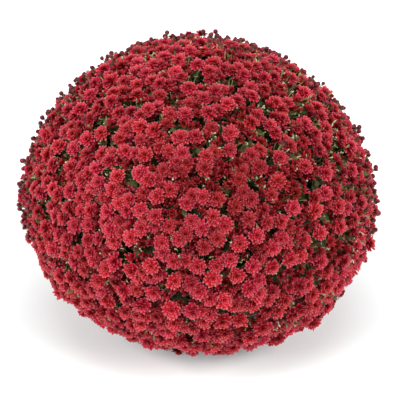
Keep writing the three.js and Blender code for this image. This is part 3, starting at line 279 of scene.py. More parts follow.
SEEN_PALE = [
    (188.7, 44.7), (206.5, 44), (200.5, 47), (169, 54.5), (216, 54.5), (145.3, 56.3), (151.5, 55), (188.5, 56), (150.5, 58), (145.2, 60), (257.4, 62.8),
    (258, 66), (173.3, 66.7), (281.8, 70.2), (130, 73), (123.5, 77), (118.7, 79.7), (90.5, 81), (102.7, 90.7), (290.7, 91.3), (78, 96.5), (308, 96.5),
    (104.7, 97.7), (176.5, 100), (302.5, 104.5), (236.6, 107.1), (263.7, 107.3), (287.2, 118.2), (100.5, 127), (323, 127.5), (315.5, 128), (96.3, 129.3), (336.5, 130),
    (201.7, 133.3), (214.8, 136), (295.7, 135.3), (332.5, 136), (292.5, 137), (335.5, 137), (113, 138.5), (100, 140.5), (209, 140.5), (49.3, 144.3), (69.5, 146),
    (41.9, 150.1), (266.5, 156), (232.3, 157.3), (297.3, 157.3), (279.5, 164), (296.5, 168.5), (43.7, 169.7), (33.2, 172.8), (34.4, 177.4), (208.3, 177.7), (172.4, 178.8),
    (256.5, 178), (306.5, 180), (353, 186.5), (364, 190), (363, 195.5), (271.5, 199), (39.3, 200.3), (348, 211.5), (39, 213.5), (364.3, 214.9), (361.8, 222),
    (99, 229.5), (353.5, 238), (294.5, 241.5), (355.5, 241), (230.5, 242), (136, 243.5), (134.5, 246), (139.3, 248.3), (55.5, 274), (275.5, 273), (220.7, 274.7),
    (132.7, 278.7), (68.7, 290.3), (80.2, 293.4), (77.8, 295.9), (231, 299.5), (116.1, 310.5), (223, 308.5), (131.3, 310.9), (139.3, 313.7), (107.3, 315.8), (128.8, 314.4),
    (194, 319.5), (186.1, 321.4), (277.5, 322), (188, 324), (146, 331), (151.6, 330.9), (183, 330.2), (178.6, 334.1), (155.2, 334.6), (194.5, 334), (153, 336.5),
    (255.5, 336), (194.7, 340.3), (220, 340), (207.8, 341.6), (218, 342.5), (210.6, 343.8),
]
SEEN_SPECK = [
    (25, 180), (334, 103), (87, 76), (89, 72), (330, 290), (41, 150), (116, 308), (215, 136), (55, 275), (151, 331), (76, 296), (42, 139), (42, 257), (144, 56),
    (366, 179), (322, 92), (327, 96), (116, 314), (155, 339), (172, 179), (297, 157), (50, 262), (185, 330), (47, 260), (178, 334), (282, 70), (71, 100), (237, 107),
    (176, 100), (364, 190), (55, 259), (334, 144), (353, 187), (364, 165), (309, 97), (116, 61), (263, 107), (354, 238), (296, 135), (303, 104), (315, 128), (365, 215),
    (300, 115), (187, 321), (111, 144), (341, 152), (191, 67), (138, 49), (124, 262), (132, 312), (94, 267), (299, 297), (199, 73), (307, 180), (291, 92), (29, 204),
    (362, 221), (361, 241), (151, 55), (255, 336), (287, 118), (79, 98), (103, 121), (346, 191), (146, 60), (32, 214), (155, 335), (230, 242), (45, 202), (283, 82),
    (119, 328), (105, 141), (80, 294), (327, 294), (249, 324), (49, 144), (295, 241), (257, 63), (317, 285), (354, 140), (39, 201), (94, 73), (342, 239), (160, 114),
    (344, 127), (102, 144), (189, 334), (307, 100), (232, 157), (254, 53), (208, 342), (267, 156), (262, 68), (99, 229), (277, 323), (59, 169), (194, 78), (124, 249),
    (293, 137), (304, 320), (332, 127), (48, 126), (300, 106), (103, 91), (321, 293), (348, 212), (248, 141), (90, 81), (161, 286), (247, 50), (301, 111), (245, 143),
    (119, 166), (100, 141), (274, 328), (263, 116), (313, 287), (209, 140), (258, 105), (87, 272), (176, 119), (128, 178), (107, 316), (227, 56), (208, 178), (169, 131),
    (253, 143), (148, 64), (65, 262), (63, 269), (241, 49), (265, 131), (312, 282), (352, 247), (133, 53), (256, 178), (84, 274), (175, 95), (294, 304), (311, 102),
    (320, 178), (332, 162), (100, 118), (43, 170), (270, 88), (363, 195), (335, 137), (146, 331), (65, 155), (223, 47), (168, 96), (202, 133), (269, 110), (336, 130),
    (130, 73), (220, 340), (132, 250), (260, 102), (143, 294), (205, 84), (330, 109), (204, 258), (167, 269), (106, 169), (207, 43), (106, 116), (33, 153), (288, 127),
    (82, 96), (360, 231), (110, 320), (72, 292), (264, 183), (281, 264), (60, 202), (277, 126), (60, 132), (211, 344), (372, 194), (214, 132), (221, 207), (65, 225),
    (139, 249), (330, 151), (317, 310), (30, 217), (350, 261), (188, 56), (100, 256), (90, 270), (93, 127), (344, 186), (246, 328), (287, 324), (232, 54), (317, 123),
    (323, 215), (134, 246), (257, 133), (202, 185), (264, 187), (72, 252), (324, 103), (335, 271), (138, 104), (112, 166), (348, 165), (35, 177), (33, 173), (282, 74),
    (287, 82), (277, 298), (124, 258), (194, 340), (34, 158), (289, 158), (221, 275), (337, 112), (287, 131), (355, 191), (240, 44), (68, 198), (319, 120), (171, 65),
    (123, 169), (275, 275), (255, 130), (49, 197), (200, 69), (170, 93), (345, 134), (322, 127), (94, 198), (192, 42), (188, 62), (68, 290), (297, 81), (106, 175),
    (74, 247), (305, 199), (254, 58), (147, 237), (86, 87), (63, 183), (171, 106), (360, 174), (301, 101), (372, 199), (346, 176), (163, 128), (298, 75), (317, 247),
    (127, 76), (238, 142), (125, 280), (223, 309), (229, 81), (160, 290), (66, 120), (132, 161), (149, 275), (241, 154), (37, 220), (42, 146), (342, 122), (141, 98),
    (220, 124), (100, 127), (290, 121), (181, 45), (127, 173), (347, 159), (260, 98), (346, 148), (296, 169), (320, 279), (350, 255), (97, 196), (279, 164), (29, 175),
    (321, 243), (356, 223), (69, 145), (308, 250), (166, 70), (189, 45), (286, 88), (205, 176), (364, 210), (249, 179), (337, 168), (155, 53), (63, 117), (124, 105),
    (294, 113), (268, 229), (224, 215), (245, 59), (56, 163), (330, 158), (112, 135), (203, 280), (181, 305), (202, 104), (46, 214), (39, 214), (224, 54), (208, 146),
    (96, 129), (120, 303), (224, 175), (215, 83), (145, 103), (169, 55), (265, 161), (235, 92), (222, 146), (239, 261), (233, 171), (120, 258), (245, 202), (199, 215),
    (252, 136), (108, 280), (343, 214), (123, 59), (68, 270), (240, 103), (62, 259), (176, 249), (277, 262), (307, 156), (142, 87), (293, 320), (285, 101), (64, 201),
    (327, 237), (289, 198), (243, 260), (211, 49), (236, 310), (128, 169), (166, 286), (242, 209), (129, 310), (333, 122), (223, 126), (267, 141), (156, 104), (354, 257),
    (222, 269), (227, 193), (341, 197), (177, 288), (218, 81), (189, 76), (211, 256), (246, 317), (208, 47), (72, 180), (298, 245), (369, 229), (339, 177), (87, 126),
    (258, 224), (207, 119), (64, 105), (367, 195), (279, 212), (64, 256), (171, 237), (200, 300), (340, 233), (231, 78), (313, 159), (153, 251), (160, 72), (83, 89),
    (260, 176), (135, 100), (316, 162), (298, 153), (66, 162), (225, 240), (105, 282), (105, 97), (217, 48), (248, 255), (102, 171), (272, 199), (359, 163), (192, 60),
    (115, 131), (29, 190), (322, 247), (327, 248), (348, 230), (122, 306), (258, 184), (123, 317), (233, 226), (218, 246), (342, 183), (270, 70), (288, 150), (81, 152),
    (324, 250), (270, 80), (288, 75), (119, 80), (218, 169), (286, 161), (358, 177), (180, 254), (54, 157), (40, 188), (358, 158), (355, 154), (164, 136), (310, 242),
]
WORLD = 0.56
LIGHTS = [
    ("above", 0, 75, 30, 0.9),
    ("left", -55, 35, 30, 2.95),
    ("right", 55, 35, 30, 2.95),
]

CENTRES = np.array([s[0] for s in SPRAYS]); CENTRES /= np.linalg.norm(CENTRES, axis=1)[:, None]
APEXES = np.array([s[1] for s in SPRAYS], float)
AXES = np.array([s[2] for s in SPRAYS], float); AXES /= np.linalg.norm(AXES, axis=1)[:, None]
_sw = [(np.array(d) / np.linalg.norm(d), h, math.radians(w)) for d, h, w in SWELLS]


def unit(v):
    return v / np.maximum(np.linalg.norm(v, axis=-1, keepdims=True), 1e-9)


def swell(u):
    f = np.ones(len(u))
    for d, h, w in _sw:
        f += h * np.exp(-0.5 * (np.arccos(np.clip(u @ d, -1, 1)) / w) ** 2)
    return f


def dome(u, s=1.0):
    """Points of the dome, in mm, in direction u on the unit ball, at s of its size."""
    k = (s * DOME_R * swell(u))[:, None] if np.ndim(s) == 0 else (s * DOME_R * swell(u))[:, None]
    z = np.where(u[:, 2] > 0, DOME_UP, DOME_DOWN)
    p = k * u
    return np.stack([p[:, 0] + SHIFT[0], p[:, 1] + SHIFT[1], MID_Z + p[:, 2] * z], 1)


def dome_normal(u):
    z = np.where(u[:, 2] > 0, DOME_UP, DOME_DOWN)
    return unit(np.stack([u[:, 0], u[:, 1], u[:, 2] / z], 1))


# ----------------------------------------------------- from the photo's frame
TILT = math.radians(28.0)
EYE_R = np.array([1.0, 0, 0])
EYE_U = np.array([0, math.sin(TILT), math.cos(TILT)])
EYE_B = np.array([0, -math.cos(TILT), math.sin(TILT)])
AIM = np.array([SHIFT[0], SHIFT[1], MID_Z]) + 2.1 * EYE_R - 2.4 * EYE_U
EYE = AIM + 1800.0 * EYE_B
LENS = 93.6
FOCAL = LENS / 36.0 * 400.0


def ball(p):
    """Direction on the unit ball of points p in mm, and how far out they lie."""
    q = p - np.array([SHIFT[0], SHIFT[1], MID_Z])
    q = q / np.stack([np.ones(len(q)), np.ones(len(q)), np.where(q[:, 2] > 0, DOME_UP, DOME_DOWN)], 1)
    d = np.linalg.norm(q, axis=1)
    return q / d[:, None], d


def first_hit(px, py, depth):
    """Where the sight line through a place in the photo's frame meets the dome, depth mm under its face, or
    where it passes nearest: direction on the ball and true depth."""
    px, py = np.asarray(px, float) + 0.5, np.asarray(py, float) + 0.5
    d = unit(EYE_R * ((px - 200) / FOCAL)[:, None] + EYE_U * ((200 - py) / FOCAL)[:, None] - EYE_B)
    t = np.linspace(1380, 2050, 336)
    gap = np.empty((len(px), len(t)))
    for j, tj in enumerate(t):
        u, r = ball(EYE + d * tj)
        gap[:, j] = r - (DOME_R * swell(u) - depth)
    hit = gap < 0
    j = np.where(hit.any(1), hit.argmax(1), gap.argmin(1))
    tt = t[j]
    k = hit.any(1) & (j > 0)
    g0, g1 = gap[np.arange(len(j)), np.maximum(j - 1, 0)], gap[np.arange(len(j)), j]
    tt = np.where(k, t[j] - (t[1] - t[0]) * (-g1) / np.maximum(g0 - g1, 1e-6), tt)
    u, r = ball(EYE + d * tt[:, None])
    return u, DOME_R * swell(u) - r


def facing(u):
    """Cosine between the dome's face at u and the sight line: above 0 is turned to the camera."""
    p = dome(u)
    return np.sum(dome_normal(u) * unit(EYE - p), 1)


# ------------------------------------------------------------ mesh gathering
class Geo:
    """Gathers faces as arrays, then makes one mesh object of them."""

    def __init__(self):
        self.v, self.f, self.t, self.m, self.n = [], [], [], [], 0

    def add(self, verts, faces, uv, mat=0):
        verts = np.asarray(verts, float).reshape(-1, 3)
        faces = np.asarray(faces, int)
        self.v.append(verts)
        self.f.append(faces + self.n)
        self.t.append(np.asarray(uv, float).reshape(-1, 2))
        self.m.append(np.full(len(faces), mat))
        self.n += len(verts)

    def tris(self):
        return sum(len(f) * (f.shape[1] - 2) for f in self.f)

    def make(self, name, mats, slot, nodes=(), smooth=True, map_=True):
        me = bpy.data.meshes.new(name)
        V = np.concatenate(self.v) * MM
        loops = np.concatenate([f.ravel() for f in self.f])
        size = np.concatenate([np.full(len(f), f.shape[1]) for f in self.f])
        start = np.concatenate([[0], np.cumsum(size)[:-1]])
        me.vertices.add(len(V))
        me.vertices.foreach_set("co", V.ravel())
        me.loops.add(len(loops))
        me.loops.foreach_set("vertex_index", loops)
        me.polygons.add(len(size))
        me.polygons.foreach_set("loop_start", start)
        me.polygons.foreach_set("material_index", np.concatenate(self.m))
        me.polygons.foreach_set("use_smooth", np.full(len(size), smooth))
        if map_:
            me.uv_layers.new(name=UV).data.foreach_set("uv", np.concatenate(self.t).ravel())
        me.update(calc_edges=True)
        for m in mats:
            me.materials.append(m)
        ob = bpy.data.objects.new(name, me)
        bpy.context.scene.collection.objects.link(ob)
        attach(ob, "root")
        if nodes:
            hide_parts(*nodes)
        TRIS[name] = self.tris()
        return ob


TRIS = {}
PAD = 0.06


def cell_uv(local, col, row, nx, ny):
    """local (N, k, 2) in 0..1 to the map, in cell (col, row) of an nx by ny grid."""
    l = PAD + np.clip(local, 0, 1) * (1 - 2 * PAD)
    return np.stack([(col[:, None] + l[..., 0]) / nx, (row[:, None] + l[..., 1]) / ny], -1)


def frames(axis, spin):
    """Two unit vectors across each axis, turned by spin."""
    ref = np.where(np.abs(axis[:, 2:3]) > 0.9, [[1.0, 0, 0]], [[0, 0, 1.0]])
    a = unit(np.cross(ref, axis))
    b = np.cross(axis, a)
    c, s = np.cos(spin)[:, None], np.sin(spin)[:, None]
    return a * c + b * s, b * c - a * s


def grid_faces(rows, cols):
    q = []
    for j in range(rows - 1):
        for i in range(cols - 1):
            a = j * cols + i
            q.append((a, a + 1, a + cols + 1, a + cols))
    return np.array(q)


def repeat(faces, n, per):
    return (faces[None] + (np.arange(n) * per)[:, None, None]).reshape(-1, faces.shape[1])


FULL = dict(s=np.array([0.0, 0.42, 0.82, 1.0]), w=np.array([0.36, 0.88, 0.98, 0.42]))
LITE = dict(s=np.array([0.0, 0.60, 1.0]), w=np.array([0.42, 1.0, 0.42]))
FLAT = dict(s=np.array([0.0, 0.62, 1.0]), w=np.array([0.44, 1.0, 0.44]), flat=True)


def petals(geo, O, A, P, Q, ang, L, W, phi, bend, r0, z0, cup, twist, cell, mat=0, form=FULL, grid=(4, 8)):
    """Petals as cupped sheets: O origin, A bloom axis, P and Q across it; ang round the axis, L length, W width,
    phi rise at the foot, bend added over the length, r0 and z0 the foot's place, cell = (col, row) of its colour."""
    n = len(ang)
    s, w = form["s"], form["w"]
    R = P * np.cos(ang)[:, None] + Q * np.sin(ang)[:, None]
    T = Q * np.cos(ang)[:, None] - P * np.sin(ang)[:, None]
    bend = np.where(np.abs(bend) < 1e-3, 1e-3, bend)
    f = phi[:, None] + bend[:, None] * s[None]
    r = r0[:, None] + L[:, None] * (np.sin(f) - np.sin(phi)[:, None]) / bend[:, None]
    z = z0[:, None] + L[:, None] * (np.cos(phi)[:, None] - np.cos(f)) / bend[:, None]
    mid = O[:, None] + R[:, None] * r[..., None] + A[:, None] * z[..., None]
    nrm = -R[:, None] * np.sin(f)[..., None] + A[:, None] * np.cos(f)[..., None]
    tw = (twist[:, None] * s[None])[..., None]
    side = T[:, None] * np.cos(tw) + nrm * np.sin(tw)
    up = nrm * np.cos(tw) - T[:, None] * np.sin(tw)
    half = 0.5 * W[:, None, None] * w[None, :, None]
    lift = (cup[:, None] * W[:, None] * w[None])[..., None]
    back = np.zeros(len(s)); back[-1] = 0.09
    run = R[:, None] * np.cos(f)[..., None] + A[:, None] * np.sin(f)[..., None]
    drop = -run * (L[:, None] * back[None])[..., None]
    left = mid - side * half + up * lift + drop
    right = mid + side * half + up * lift + drop
    rows, cols = len(s), 2 if form.get("flat") else 3
    v = np.stack([left, right] if cols == 2 else [left, mid, right], 2).reshape(n, -1, 3)
    q = grid_faces(rows, cols)
    # map: across the petal on u, along it on v
    lu = np.tile([0.0, 1.0] if cols == 2 else [0.0, 0.5, 1.0], rows)
    lv = np.repeat(s, cols)
    local = np.stack([lu, lv], -1)[q]  # faces, 4, 2
    uv = cell_uv(np.broadcast_to(local.reshape(1, -1, 2), (n, len(q) * 4, 2)), cell[0], cell[1], *grid)
    geo.add(v, repeat(q, n, rows * cols), uv, mat)


def tube(geo, paths, radii, sides, cell, mat=0, grid=(4, 4), cap=False):
    """Tubes along paths (n, k, 3) with radii (n, k). u runs round the tube and back, v along it."""
    paths = np.asarray(paths, float)
    radii = np.asarray(radii, float)
    n, k, _ = paths.shape
    tan = np.zeros_like(paths)
    tan[:, 1:-1] = paths[:, 2:] - paths[:, :-2]
    tan[:, 0] = paths[:, 1] - paths[:, 0]
    tan[:, -1] = paths[:, -1] - paths[:, -2]
    tan = unit(tan)
    ref = np.where(np.abs(tan[:, 0, 2:3]) > 0.9, [[1.0, 0, 0]], [[0, 0, 1.0]])
    a = unit(np.cross(ref, tan[:, 0]))
    A = np.zeros_like(paths)
    for j in range(k):
        a = unit(a - tan[:, j] * np.sum(a * tan[:, j], 1, keepdims=True))
        A[:, j] = a
    B = np.cross(tan, A)
    th = 2 * np.pi * np.arange(sides) / sides
    ring = (A[:, :, None] * np.cos(th)[None, None, :, None] + B[:, :, None] * np.sin(th)[None, None, :, None])
    v = paths[:, :, None] + ring * radii[:, :, None, None]
    q, local = [], []
    for j in range(k - 1):
        for i in range(sides):
            i2 = (i + 1) % sides
            q.append((j * sides + i, j * sides + i2, (j + 1) * sides + i2, (j + 1) * sides + i))
            u0, u1 = [1 - abs(2 * x / sides - 1) for x in (i, i + 1)]
            local.append([(u0, j / (k - 1)), (u1, j / (k - 1)), (u1, (j + 1) / (k - 1)), (u0, (j + 1) / (k - 1))])
    q = np.array(q)
    local = np.array(local).reshape(1, -1, 2)
    uv = cell_uv(np.broadcast_to(local, (n, local.shape[1], 2)), cell[0], cell[1], *grid)
    geo.add(v.reshape(n, -1, 3), repeat(q, n, k * sides), uv, mat)
    if cap:
        c = np.arange(sides) + (k - 1) * sides
        lc = np.tile([[0.5, 1.0]], (sides, 1))[None]
        geo.add(v.reshape(n, -1, 3), repeat(c[None], n, k * sides),
                cell_uv(np.broadcast_to(lc, (n, sides, 2)), cell[0], cell[1], *grid), mat)


def cups(geo, O, A, P, Q, rings, sides, cell, mat=0, grid=(4, 4), close_top=False):
    """Small round bodies: rings is a list of (radius array, height array, v), from the foot up; a ring of radius 0 is a point."""
    n = len(O)
    th = 2 * np.pi * np.arange(sides) / sides
    v, idx, count = [], [], 0
    for r, z, _ in rings:
        if r is None:
            v.append((O + A * z[:, None])[:, None])
            idx.append([count]); count += 1
        else:
            v.append(O[:, None] + P[:, None] * (np.cos(th)[None, :, None] * r[:, None, None])
                     + Q[:, None] * (np.sin(th)[None, :, None] * r[:, None, None]) + A[:, None] * z[:, None, None])
            idx.append(list(range(count, count + sides))); count += sides
    v = np.concatenate(v, 1)
    quads, ql, tri, tl = [], [], [], []
    for j in range(len(rings) - 1):
        a, b, va, vb = idx[j], idx[j + 1], rings[j][2], rings[j + 1][2]
        for i in range(sides):
            i2 = (i + 1) % sides
            u0, u1 = [1 - abs(2 * x / sides - 1) for x in (i, i + 1)]
            if len(a) == 1:
                tri.append((a[0], b[i2], b[i])); tl.append([((u0 + u1) / 2, va), (u1, vb), (u0, vb)])
            elif len(b) == 1:
                tri.append((a[i], a[i2], b[0])); tl.append([(u0, va), (u1, va), ((u0 + u1) / 2, vb)])
            else:
                quads.append((a[i], a[i2], b[i2], b[i])); ql.append([(u0, va), (u1, va), (u1, vb), (u0, vb)])
    base = geo.n
    first = True
    for f, l in ((quads, ql), (tri, tl)):
        if not f:
            continue
        f = np.array(f); l = np.array(l, float).reshape(1, -1, 2)
        uv = cell_uv(np.broadcast_to(l, (n, l.shape[1], 2)), cell[0], cell[1], *grid)
        if first:
            geo.add(v, repeat(f, n, count), uv, mat); first = False
        else:
            geo.f.append(repeat(f, n, count) + base); geo.t.append(uv.reshape(-1, 2)); geo.m.append(np.full(len(f) * n, mat))


# ----------------------------------------------------------- blooms on the dome
rng = np.random.default_rng(20260)


def scatter(n, gap, taken=None, taken_gap=0.0, tries=60000, where=None):
    """Random directions on the dome with no two points nearer than gap mm, nor nearer than taken_gap to taken."""
    u = unit(rng.normal(size=(tries, 3)))
    u = u[u[:, 2] > SKIRT_U]
    if where is not None:
        u = u[where(u)]
    p = dome(u)
    cell = {}
    out = []
    g = max(gap, 1e-6)
    T = None
    if taken is not None and taken_gap > 0:
        tc = {}
        for i, q in enumerate(taken):
            tc.setdefault(tuple((q // taken_gap).astype(int)), []).append(i)
    offs = [(a, b, c) for a in (-1, 0, 1) for b in (-1, 0, 1) for c in (-1, 0, 1)]
    for i in range(len(u)):
        q = p[i]
        if taken is not None and taken_gap > 0:
            k = (q // taken_gap).astype(int)
            if any(np.sum((taken[j] - q) ** 2) < taken_gap ** 2 for o in offs for j in tc.get((k[0] + o[0], k[1] + o[1], k[2] + o[2]), ())):
                continue
        k = (q // g).astype(int)
        if any(np.sum((p[j] - q) ** 2) < g * g for o in offs for j in cell.get((k[0] + o[0], k[1] + o[1], k[2] + o[2]), ())):
            continue
        cell.setdefault(tuple(k), []).append(i)
        out.append(i)
        if len(out) >= n:
            break
    return u[out], p[out]

# ------------------------------------------------------------------ materials
class Nodes:
    """A short way to write a material's nodes."""

    def __init__(self, name, rough=0.5, spec=0.5, sheen=None, coat=None):
        self.m = bpy.data.materials.new(name)
        self.m.use_nodes = True
        self.t = self.m.node_tree
        self.t.nodes.clear()
        self.out = self.t.nodes.new("ShaderNodeOutputMaterial")
        self.b = self.t.nodes.new("ShaderNodeBsdfPrincipled")
        self.t.links.new(self.b.outputs[0], self.out.inputs[0])
        self.b.inputs["Roughness"].default_value = rough
        self.b.inputs["Specular IOR Level"].default_value = spec
        if sheen:
            self.b.inputs["Sheen Weight"].default_value = sheen[0]
            self.b.inputs["Sheen Roughness"].default_value = sheen[1]
            self.b.inputs["Sheen Tint"].default_value = (*sheen[2], 1)
        if coat:
            self.b.inputs["Coat Weight"].default_value = coat[0]
            self.b.inputs["Coat Roughness"].default_value = coat[1]

    def _in(self, node, i, v):
        if v is None:
            return
        if isinstance(v, bpy.types.NodeSocket):
            self.t.links.new(v, node.inputs[i])
        else:
            s = node.inputs[i]
            s.default_value = (*v, 1) if (hasattr(v, "__len__") and len(v) == 3 and s.type == "RGBA") else v

    def math(self, op, a, b=None, c=None, clamp=False):
        n = self.t.nodes.new("ShaderNodeMath"); n.operation = op; n.use_clamp = clamp
        for i, v in enumerate((a, b, c)):
            self._in(n, i, v)
        return n.outputs[0]

    def uv(self):
        n = self.t.nodes.new("ShaderNodeUVMap"); n.uv_map = UV
        return n.outputs[0]

    def split(self, v):
        n = self.t.nodes.new("ShaderNodeSeparateXYZ"); self._in(n, 0, v)
        return n.outputs[0], n.outputs[1], n.outputs[2]

    def join(self, x, y, z=0.0):
        n = self.t.nodes.new("ShaderNodeCombineXYZ")
        for i, v in enumerate((x, y, z)):
            self._in(n, i, v)
        return n.outputs[0]

    def coords(self, which="Object"):
        return self.t.nodes.new("ShaderNodeTexCoord").outputs[which]

    def noise(self, v, scale, detail=2.0, rough=0.5, dist=0.0, out=0):
        n = self.t.nodes.new("ShaderNodeTexNoise")
        self._in(n, "Vector", v)
        n.inputs["Scale"].default_value = scale
        n.inputs["Detail"].default_value = detail
        n.inputs["Roughness"].default_value = rough
        n.inputs["Distortion"].default_value = dist
        return n.outputs[out]

    def white(self, v):
        n = self.t.nodes.new("ShaderNodeTexWhiteNoise"); n.noise_dimensions = "3D"
        self._in(n, "Vector", v)
        return n.outputs[0]

    def ramp(self, f, stops, mode="LINEAR"):
        n = self.t.nodes.new("ShaderNodeValToRGB")
        n.color_ramp.interpolation = mode
        e = n.color_ramp.elements
        while len(e) < len(stops):
            e.new(0.5)
        for el, (p, c) in zip(e, stops):
            el.position = p
            el.color = (*c, 1) if hasattr(c, "__len__") else (c, c, c, 1)
        self._in(n, 0, f)
        return n.outputs[0]

    def mix(self, f, a, b, mode="MIX"):
        n = self.t.nodes.new("ShaderNodeMix"); n.data_type = "RGBA"; n.blend_type = mode
        n.clamp_factor = True
        self._in(n, 0, f); self._in(n, 6, a); self._in(n, 7, b)
        return n.outputs[2]

    def hsv(self, c, h=0.5, s=1.0, v=1.0):
        n = self.t.nodes.new("ShaderNodeHueSaturation")
        self._in(n, "Hue", h); self._in(n, "Saturation", s); self._in(n, "Value", v); self._in(n, "Color", c)
        return n.outputs[0]

    def remap(self, f, a, b, c, d, clamp=True):
        n = self.t.nodes.new("ShaderNodeMapRange"); n.clamp = clamp
        for i, v in enumerate((f, a, b, c, d)):
            self._in(n, i, v)
        return n.outputs[0]

    def colour(self, c):
        self.t.links.new(c, self.b.inputs["Base Color"])

    def rough(self, f):
        self.t.links.new(f, self.b.inputs["Roughness"])

    def bump(self, h, strength=0.3, dist=0.001):
        n = self.t.nodes.new("ShaderNodeBump")
        n.inputs["Strength"].default_value = strength
        n.inputs["Distance"].default_value = dist
        self._in(n, "Height", h)
        self.t.links.new(n.outputs[0], self.b.inputs["Normal"])

    def cell(self, nx, ny):
        """Which cell of the map this is, and the place in it: col, row, u, v."""
        u, v, _ = self.split(self.uv())
        un, vn = self.math("MULTIPLY", u, float(nx)), self.math("MULTIPLY", v, float(ny))
        col, row = self.math("FLOOR", un), self.math("FLOOR", vn)
        lu = self.remap(self.math("FRACT", un), PAD, 1 - PAD, 0.0, 1.0)
        lv = self.remap(self.math("FRACT", vn), PAD, 1 - PAD, 0.0, 1.0)
        return col, row, lu, lv


def petal_material():
    k = Nodes("petal", rough=0.6, spec=0.05)
    col, row, u, v = k.cell(4, 8)
    # the map's rows are lit and shaded copies of one crimson, with painted light at the top row and painted shade at
    # the bottom, plus some random tone
    bright = k.math("DIVIDE", row, 7.0)
    # along each petal: painted shade towards the foot; the pale pink tip is partly the petal's own colour and partly a
    # painted highlight
    lit_petal = k.ramp(v, [(0.0, (0.32, 0.006, 0.012)), (0.35, (0.39, 0.007, 0.018)), (0.66, (0.43, 0.009, 0.024)),
                      (0.82, (0.46, 0.023, 0.042)), (0.92, (0.49, 0.080, 0.098)), (1.0, (0.55, 0.21, 0.215))])
    shaded_petal = k.ramp(v, [(0.0, (0.13, 0.006, 0.004)), (0.45, (0.165, 0.007, 0.007)), (0.82, (0.19, 0.010, 0.011)),
                      (1.0, (0.28, 0.050, 0.052))])
    c = k.mix(bright, shaded_petal, lit_petal)
    # hue: scarlet in the first column of the map, wine in the last
    hue = k.remap(col, 0.0, 3.0, 0.5018, 0.4978)
    c = k.hsv(c, h=hue, s=1.0, v=1.0)
    # pale rim, fainter on the painted-shade rows, and fine streaks along the petal
    edge = k.math("ABSOLUTE", k.math("SUBTRACT", k.math("MULTIPLY", u, 2.0), 1.0))
    rim = k.math("MULTIPLY", k.math("POWER", edge, 6.0), k.remap(v, 0.45, 0.95, 0.0, 0.15))
    c = k.mix(k.math("MULTIPLY", rim, k.remap(bright, 0.0, 1.0, 0.25, 1.0)), c, (0.54, 0.085, 0.115))
    streak = k.noise(k.join(k.math("MULTIPLY", u, 9.0), k.math("MULTIPLY", v, 1.6), k.math("ADD", k.math("MULTIPLY", col, 3.7), k.math("MULTIPLY", row, 1.9))), 1.6, 3.0, 0.6)
    c = k.mix(1.0, c, k.ramp(streak, [(0.25, 0.91), (0.55, 1.0), (0.8, 1.05)]), "MULTIPLY")
    k.colour(c)
    vein = k.math("SINE", k.math("MULTIPLY", u, 31.0))
    k.bump(k.math("ADD", k.math("MULTIPLY", vein, 0.5), streak), 0.10, 0.0003)
    return k.m


def bud_material():
    """v: green cup at the foot, then maroon scales, a redder crown. Columns: maroon, crimson, wine, pale green-cream."""
    k = Nodes("bud", rough=0.5, spec=0.22)
    col, row, u, v = k.cell(4, 4)
    red = k.ramp(v, [(0.0, (0.10, 0.13, 0.035)), (0.30, (0.085, 0.055, 0.022)), (0.42, (0.11, 0.007, 0.012)), (0.75, (0.17, 0.009, 0.018)),
                     (1.0, (0.33, 0.020, 0.036))])
    pale = k.ramp(v, [(0.0, (0.22, 0.28, 0.10)), (0.4, (0.30, 0.31, 0.15)), (0.75, (0.42, 0.36, 0.24)), (1.0, (0.50, 0.38, 0.31))])
    c = k.mix(k.math("GREATER_THAN", col, 2.5), red, pale)
    c = k.hsv(c, h=k.remap(k.white(k.join(col, row, 3.0)), 0.0, 1.0, 0.49, 0.51), v=k.remap(k.white(k.join(col, row, 1.0)), 0.0, 1.0, 0.7, 1.35))
    # overlapping scales
    scale = k.math("SINE", k.math("ADD", k.math("MULTIPLY", v, 26.0), k.math("MULTIPLY", k.math("SINE", k.math("MULTIPLY", u, 18.0)), 1.5)))
    c = k.mix(1.0, c, k.ramp(scale, [(0.0, 0.72), (1.0, 1.08)]), "MULTIPLY")
    k.colour(c)
    k.bump(scale, 0.5, 0.0004)
    return k.m


def leaf_material():
    k = Nodes("leaf", rough=0.62, spec=0.15)
    col, row, u, v = k.cell(4, 2)
    n = k.white(k.join(col, row, 7.0))
    # old leaves inside are darker (row 0), young ones at the face paler (row 1)
    old = k.ramp(n, [(0.0, (0.028, 0.032, 0.011)), (0.5, (0.042, 0.044, 0.015)), (1.0, (0.062, 0.060, 0.021))])
    young = k.ramp(n, [(0.0, (0.052, 0.060, 0.017)), (0.5, (0.085, 0.093, 0.027)), (1.0, (0.14, 0.14, 0.045))])
    base = k.mix(row, old, young)
    x = k.math("ABSOLUTE", k.math("SUBTRACT", k.math("MULTIPLY", u, 2.0), 1.0))
    # side veins leave the midrib at a slant
    slant = k.math("SUBTRACT", v, k.math("MULTIPLY", x, 0.32))
    wave = k.math("ABSOLUTE", k.math("SINE", k.math("MULTIPLY", slant, 17.0)))
    side = k.ramp(wave, [(0.0, 1.0), (0.16, 0.0)])
    mid = k.ramp(x, [(0.0, 1.0), (0.07, 0.0)])
    vein = k.math("MAXIMUM", mid, k.math("MULTIPLY", side, 0.55))
    mott = k.noise(k.join(k.math("MULTIPLY", u, 3.0), k.math("MULTIPLY", v, 4.0), k.math("ADD", col, k.math("MULTIPLY", row, 5.0))), 3.0, 4.0, 0.6)
    c = k.mix(1.0, base, k.ramp(mott, [(0.3, 0.70), (0.7, 1.25)]), "MULTIPLY")
    c = k.mix(k.math("MULTIPLY", vein, 0.45), c, (0.09, 0.125, 0.04))
    c = k.mix(k.ramp(x, [(0.80, 0.0), (1.0, 0.35)]), c, (0.06, 0.085, 0.02))
    k.colour(c)
    k.bump(k.math("SUBTRACT", k.math("MULTIPLY", mott, 0.6), vein), 0.6, 0.0006)
    return k.m


